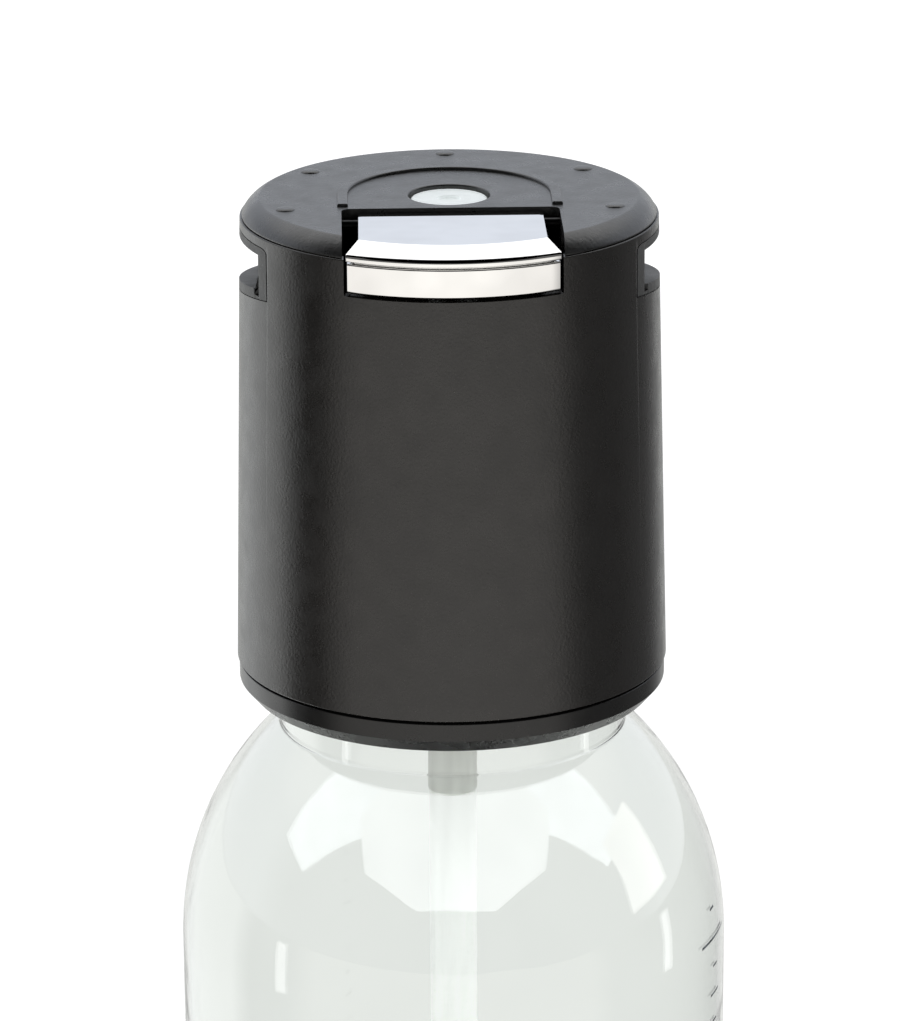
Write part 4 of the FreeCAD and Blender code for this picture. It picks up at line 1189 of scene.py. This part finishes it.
# ------------------------------------------------------------------ inner parts
@dataclass
class InnerParts:
    """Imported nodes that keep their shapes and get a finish."""

    finishes: dict[str, Finish] = field(default_factory=lambda: {
        "bottle_socket": INNER_WHITE, "valve_body": INNER_WHITE, "vent_rod": INNER_WHITE,
        "relief_cap": INNER_WHITE, "bottle_gasket": SEAL_BLACK, "check_poppet": SEAL_BLACK,
        "vent_seat": SEAL_BLACK, "relief_poppet": SEAL_BLACK, "lever_pin": DARK_STEEL,
        "check_spring": STEEL, "inlet_spring": STEEL, "vent_spring": STEEL, "relief_spring": STEEL,
        "socket_screws": STEEL, "frame_screws": STEEL, "cover_screws": STEEL})

    def build(self) -> None:
        """Put each finish on its node."""
        for node, finish in self.finishes.items():
            material = bpy.data.materials.get(finish.name) or finish.material()
            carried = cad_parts[node]
            for slot in carried.material_slots:
                slot.material = material
            LOG.info("%s keeps its packed shape, in %s", node, finish.name)


# ------------------------------------------------------------------ studio
Stops = Sequence[tuple[float, Colour]]

SKY_BACK: Stops = ((0.0, (1.0, 1.02, 1.05)), (0.22, (0.76, 0.80, 0.88)), (0.40, (0.78, 0.83, 0.92)),
                   (0.62, (1.45, 1.45, 1.45)), (0.88, (1.45, 1.45, 1.45)), (0.95, (0.05, 0.05, 0.05)))
SKY_FRONT: Stops = ((0.0, (0.12, 0.118, 0.115)), (0.60, (0.12, 0.118, 0.115)), (0.89, (0.04, 0.04, 0.04)))
# Painted reflection of the floor: bright and dark bands round the axis that only mirrored rays see.
FLOOR_REFLECTION_BANDS: Stops = ((0.0, (0.80, 0.81, 0.79)), (0.07, (0.85, 0.86, 0.84)), (0.10, (1.25, 1.28, 1.28)),
                      (0.21, (1.60, 1.62, 1.60)), (0.243, (0.02, 0.02, 0.02)), (0.30, (0.02, 0.02, 0.02)),
                      (0.335, (0.95, 0.92, 0.88)), (0.50, (1.12, 1.09, 1.04)), (0.655, (0.95, 0.92, 0.88)),
                      (0.685, (0.13, 0.13, 0.13)), (0.87, (0.16, 0.16, 0.16)), (0.91, (0.60, 0.60, 0.60)),
                      (0.93, (0.85, 0.86, 0.84)), (1.0, (0.80, 0.81, 0.79)))
THROUGH_GLASS: Colour = (0.82, 0.83, 0.81)
SKY_THROUGH: Colour = (0.98, 0.99, 1.0)


def clear_parts() -> bpy.types.Collection:
    """The bottle and its tube, which are lit by cards of their own."""
    parts = bpy.data.collections.get("clear_parts")
    if not parts:
        parts = bpy.data.collections.new("clear_parts")
        for name in ("bottle_body", "tube_sleeve", "gas_dip_tube"):
            parts.objects.link(bpy.data.objects[name])
    return parts


def mirror_share(tree: bpy.types.NodeTree, seen: bpy.types.Node) -> bpy.types.NodeSocket:
    """1 for rays that were mirrored by a surface and 0 for the others.

    Args:
        tree: The node tree.
        seen: Its light path node.

    Returns:
        The share.
    """
    mirrored, passed = seen.outputs["Is Glossy Ray"], seen.outputs["Is Transmission Ray"]
    return reckon(tree, "SUBTRACT", mirrored, passed, clamp=True)


def ramp(tree: bpy.types.NodeTree, value: bpy.types.NodeSocket, stops: Stops) -> bpy.types.NodeSocket:
    """A colour that follows a value through a list of stops.

    Args:
        tree: The node tree.
        value: The value, from 0 to 1.
        stops: Values and colours.

    Returns:
        The colour socket.
    """
    made = tree.nodes.new("ShaderNodeValToRGB")
    made.color_ramp.elements.remove(made.color_ramp.elements[1])
    first, *others = stops
    made.color_ramp.elements[0].position = first[0]
    made.color_ramp.elements[0].color = (*first[1], 1)
    for position, colour in others:
        made.color_ramp.elements.new(position).color = (*colour, 1)
    tree.links.new(value, made.inputs["Fac"])
    return made.outputs["Color"]


@dataclass
class Studio:
    """Pale floor, soft panels, surroundings and the camera."""

    lens: float = 176.3
    distance: float = 810.7
    aim: float = SEAM + 23.72
    aside: float = -0.16
    elevation: float = 17.86
    azimuth: float = -1.3
    roll: float = -0.36

    def build(self) -> None:
        """Set the floor, the lights, the surroundings, the view and the camera."""
        bpy.context.scene.view_settings.view_transform = "Standard"
        self.build_floor()
        self.build_surroundings()
        self.build_panels()
        self.build_camera()

    def build_floor(self) -> None:
        """Lay a pale board under the bottle. Mirrored rays see it as painted bright and dark bands round the
        axis, dark at the left and the right, which the camera does not see.
        """
        mesh = bmesh.new()
        corners = [(-9000.0, -9000.0), (9000.0, -9000.0), (9000.0, 9000.0), (-9000.0, 9000.0)]
        mesh.faces.new([mesh.verts.new((x, y, -0.05)) for x, y in corners])
        floor = new_piece("floor", mesh)
        graph = Graph("pale_board")
        tree = graph.tree
        fibre = graph.noise(3.0, detail=4.0)
        tone = graph.mixed(fibre, (0.52, 0.52, 0.52), (0.56, 0.56, 0.56))
        board = graph.node("ShaderNodeBsdfDiffuse", Color=tone)
        glow = graph.node("ShaderNodeEmission", Color=(1.0, 1.0, 1.0, 1.0), Strength=0.74)
        lit = tree.nodes.new("ShaderNodeAddShader")
        tree.links.new(board.outputs[0], lit.inputs[0])
        tree.links.new(glow.outputs[0], lit.inputs[1])
        parts = graph.node("ShaderNodeSeparateXYZ", Vector=graph.place)
        turn = reckon(tree, "ARCTAN2", parts.outputs["X"], reckon(tree, "MULTIPLY", parts.outputs["Y"], -1.0))
        around = graph.span(turn, -math.pi, math.pi, 0.0, 1.0)
        seen = tree.nodes.new("ShaderNodeLightPath")
        # Mirrored rays get the painted reflection bands and other bounces get a plain glow; the camera sees
        # the lit board.
        mirrored = graph.mixed(mirror_share(tree, seen), THROUGH_GLASS, ramp(tree, around, FLOOR_REFLECTION_BANDS))
        bounce = graph.node("ShaderNodeEmission", Color=mirrored, Strength=1.0)
        shown = tree.nodes.new("ShaderNodeMixShader")
        tree.links.new(seen.outputs["Is Camera Ray"], shown.inputs[0])
        tree.links.new(bounce.outputs[0], shown.inputs[1])
        tree.links.new(lit.outputs[0], shown.inputs[2])
        tree.links.new(shown.outputs[0], graph.output.inputs["Surface"])
        floor.data.materials.append(graph.material)

    def build_surroundings(self) -> None:
        """Paint the room: bright behind and above, dim in front."""
        world = bpy.data.worlds.new("studio_room")
        bpy.context.scene.world = world
        world.use_nodes = True
        tree = world.node_tree
        tree.nodes.clear()
        tree_output = tree.nodes.new("ShaderNodeOutputWorld")
        sky = tree.nodes.new("ShaderNodeBackground")
        place = tree.nodes.new("ShaderNodeTexCoord")
        parts = tree.nodes.new("ShaderNodeSeparateXYZ")
        tree.links.new(place.outputs["Generated"], parts.inputs[0])
        back = ramp(tree, parts.outputs["Z"], SKY_BACK)
        front = ramp(tree, parts.outputs["Z"], SKY_FRONT)
        side = tree.nodes.new("ShaderNodeMapRange")
        side.inputs["From Min"].default_value = -0.15
        side.inputs["From Max"].default_value = 0.15
        tree.links.new(parts.outputs["Y"], side.inputs["Value"])
        room = blend(tree, side.outputs["Result"], front, back)
        seen = tree.nodes.new("ShaderNodeLightPath")
        mirrored = blend(tree, mirror_share(tree, seen), SKY_THROUGH, room)
        shown = blend(tree, seen.outputs["Is Camera Ray"], mirrored, (1.0, 1.0, 1.0))
        tree.links.new(shown, sky.inputs["Color"])
        tree.links.new(sky.outputs["Background"], tree_output.inputs["Surface"])

    def build_panels(self) -> None:
        """Hang the boxes, the sheet overhead and the two strips that the clear parts mirror."""
        self.card("front_octagon", azimuth=0.0, elevation=52.0, distance=1000.0, radius=700.0, sides=8,
                  strength=2.8, colour=(0.97, 0.985, 1.0), stretch=1.3)
        self.card("right_square", azimuth=92.0, elevation=11.5, distance=1000.0, radius=310.0, sides=4,
                  strength=2.8, colour=(1.0, 0.99, 0.97))
        self.card("top_sheet", azimuth=0.0, elevation=79.0, distance=1500.0, radius=900.0, sides=4,
                  strength=3.2, colour=(0.93, 0.96, 1.0), stretch=6.0)
        self.card("left_strip", azimuth=-75.0, elevation=-16.0, distance=600.0, radius=105.0, sides=4,
                  strength=2.6, colour=(1.0, 1.0, 1.0), stretch=0.35)
        self.card("right_strip", azimuth=96.0, elevation=-16.0, distance=600.0, radius=105.0, sides=4,
                  strength=2.2, colour=(1.0, 1.0, 1.0), stretch=0.35)

    def card(self, name: str, azimuth: float, elevation: float, distance: float, radius: float, sides: int,
             strength: float, colour: Colour, stretch: float = 1.0) -> None:
        """Hang one glowing card that faces the infuser and lights the clear parts only.

        Args:
            name: Name of the card.
            azimuth: Degrees from the front, positive to the right.
            elevation: Degrees above the seam.
            distance: Millimetres from the axis.
            radius: Millimetres from its middle to a corner.
            sides: Number of corners.
            strength: Brightness of its middle.
            colour: Its colour.
            stretch: How much wider than high it is.
        """
        mesh = bmesh.new()
        turn, tilt = math.radians(azimuth), math.radians(elevation)
        away = Vector((math.sin(turn) * math.cos(tilt), -math.cos(turn) * math.cos(tilt), math.sin(tilt)))
        middle = Vector((0.0, 0.0, self.aim)) + away * distance
        across = Vector((math.cos(turn), math.sin(turn), 0.0))
        upward = across.cross(away)
        for corner in range(sides):
            angle = 2 * math.pi * (corner + 0.5) / sides
            mesh.verts.new(middle + (across * math.cos(angle) * stretch + upward * math.sin(angle)) * radius)
        mesh.faces.new(list(mesh.verts))
        card = new_piece(name, mesh)
        graph = Graph(name)
        cloth = graph.span(graph.noise(400.0, detail=1.0), 0.3, 0.7, 0.92 * strength, 1.08 * strength)
        glow = graph.node("ShaderNodeEmission", Color=(*colour, 1.0), Strength=cloth)
        graph.tree.links.new(glow.outputs[0], graph.output.inputs["Surface"])
        card.data.materials.append(graph.material)
        card.visible_camera = False
        card.light_linking.receiver_collection = clear_parts()

    def build_camera(self) -> None:
        """Set the camera a little above the lid, looking slightly down."""
        data = bpy.data.cameras.new("camera")
        data.lens = self.lens
        data.sensor_width = 36.0
        data.clip_start, data.clip_end = 0.05, 50.0
        camera = bpy.data.objects.new("camera", data)
        turn, tilt = math.radians(self.azimuth), math.radians(self.elevation)
        back = Vector((math.sin(turn) * math.cos(tilt), -math.cos(turn) * math.cos(tilt), math.sin(tilt)))
        camera.location = (Vector((self.aside, 0.0, self.aim)) + back * self.distance) * MM
        camera.rotation_mode = "QUATERNION"
        spin = Matrix.Rotation(math.radians(self.roll), 3, back).to_quaternion()
        camera.rotation_quaternion = spin @ (-back).to_track_quat("-Z", "Y")
        bpy.context.scene.collection.objects.link(camera)
        bpy.context.scene.camera = camera


def main() -> None:
    """Build every sub-assembly in order."""
    logging.basicConfig(level=logging.INFO, format="%(message)s")
    for assembly in (Bottle(), DipTube(), Infuser(), Lever(), InnerParts(), Studio()):
        LOG.info("building %s", type(assembly).__name__)
        assembly.build()


if __name__ == "__main__":
    main()
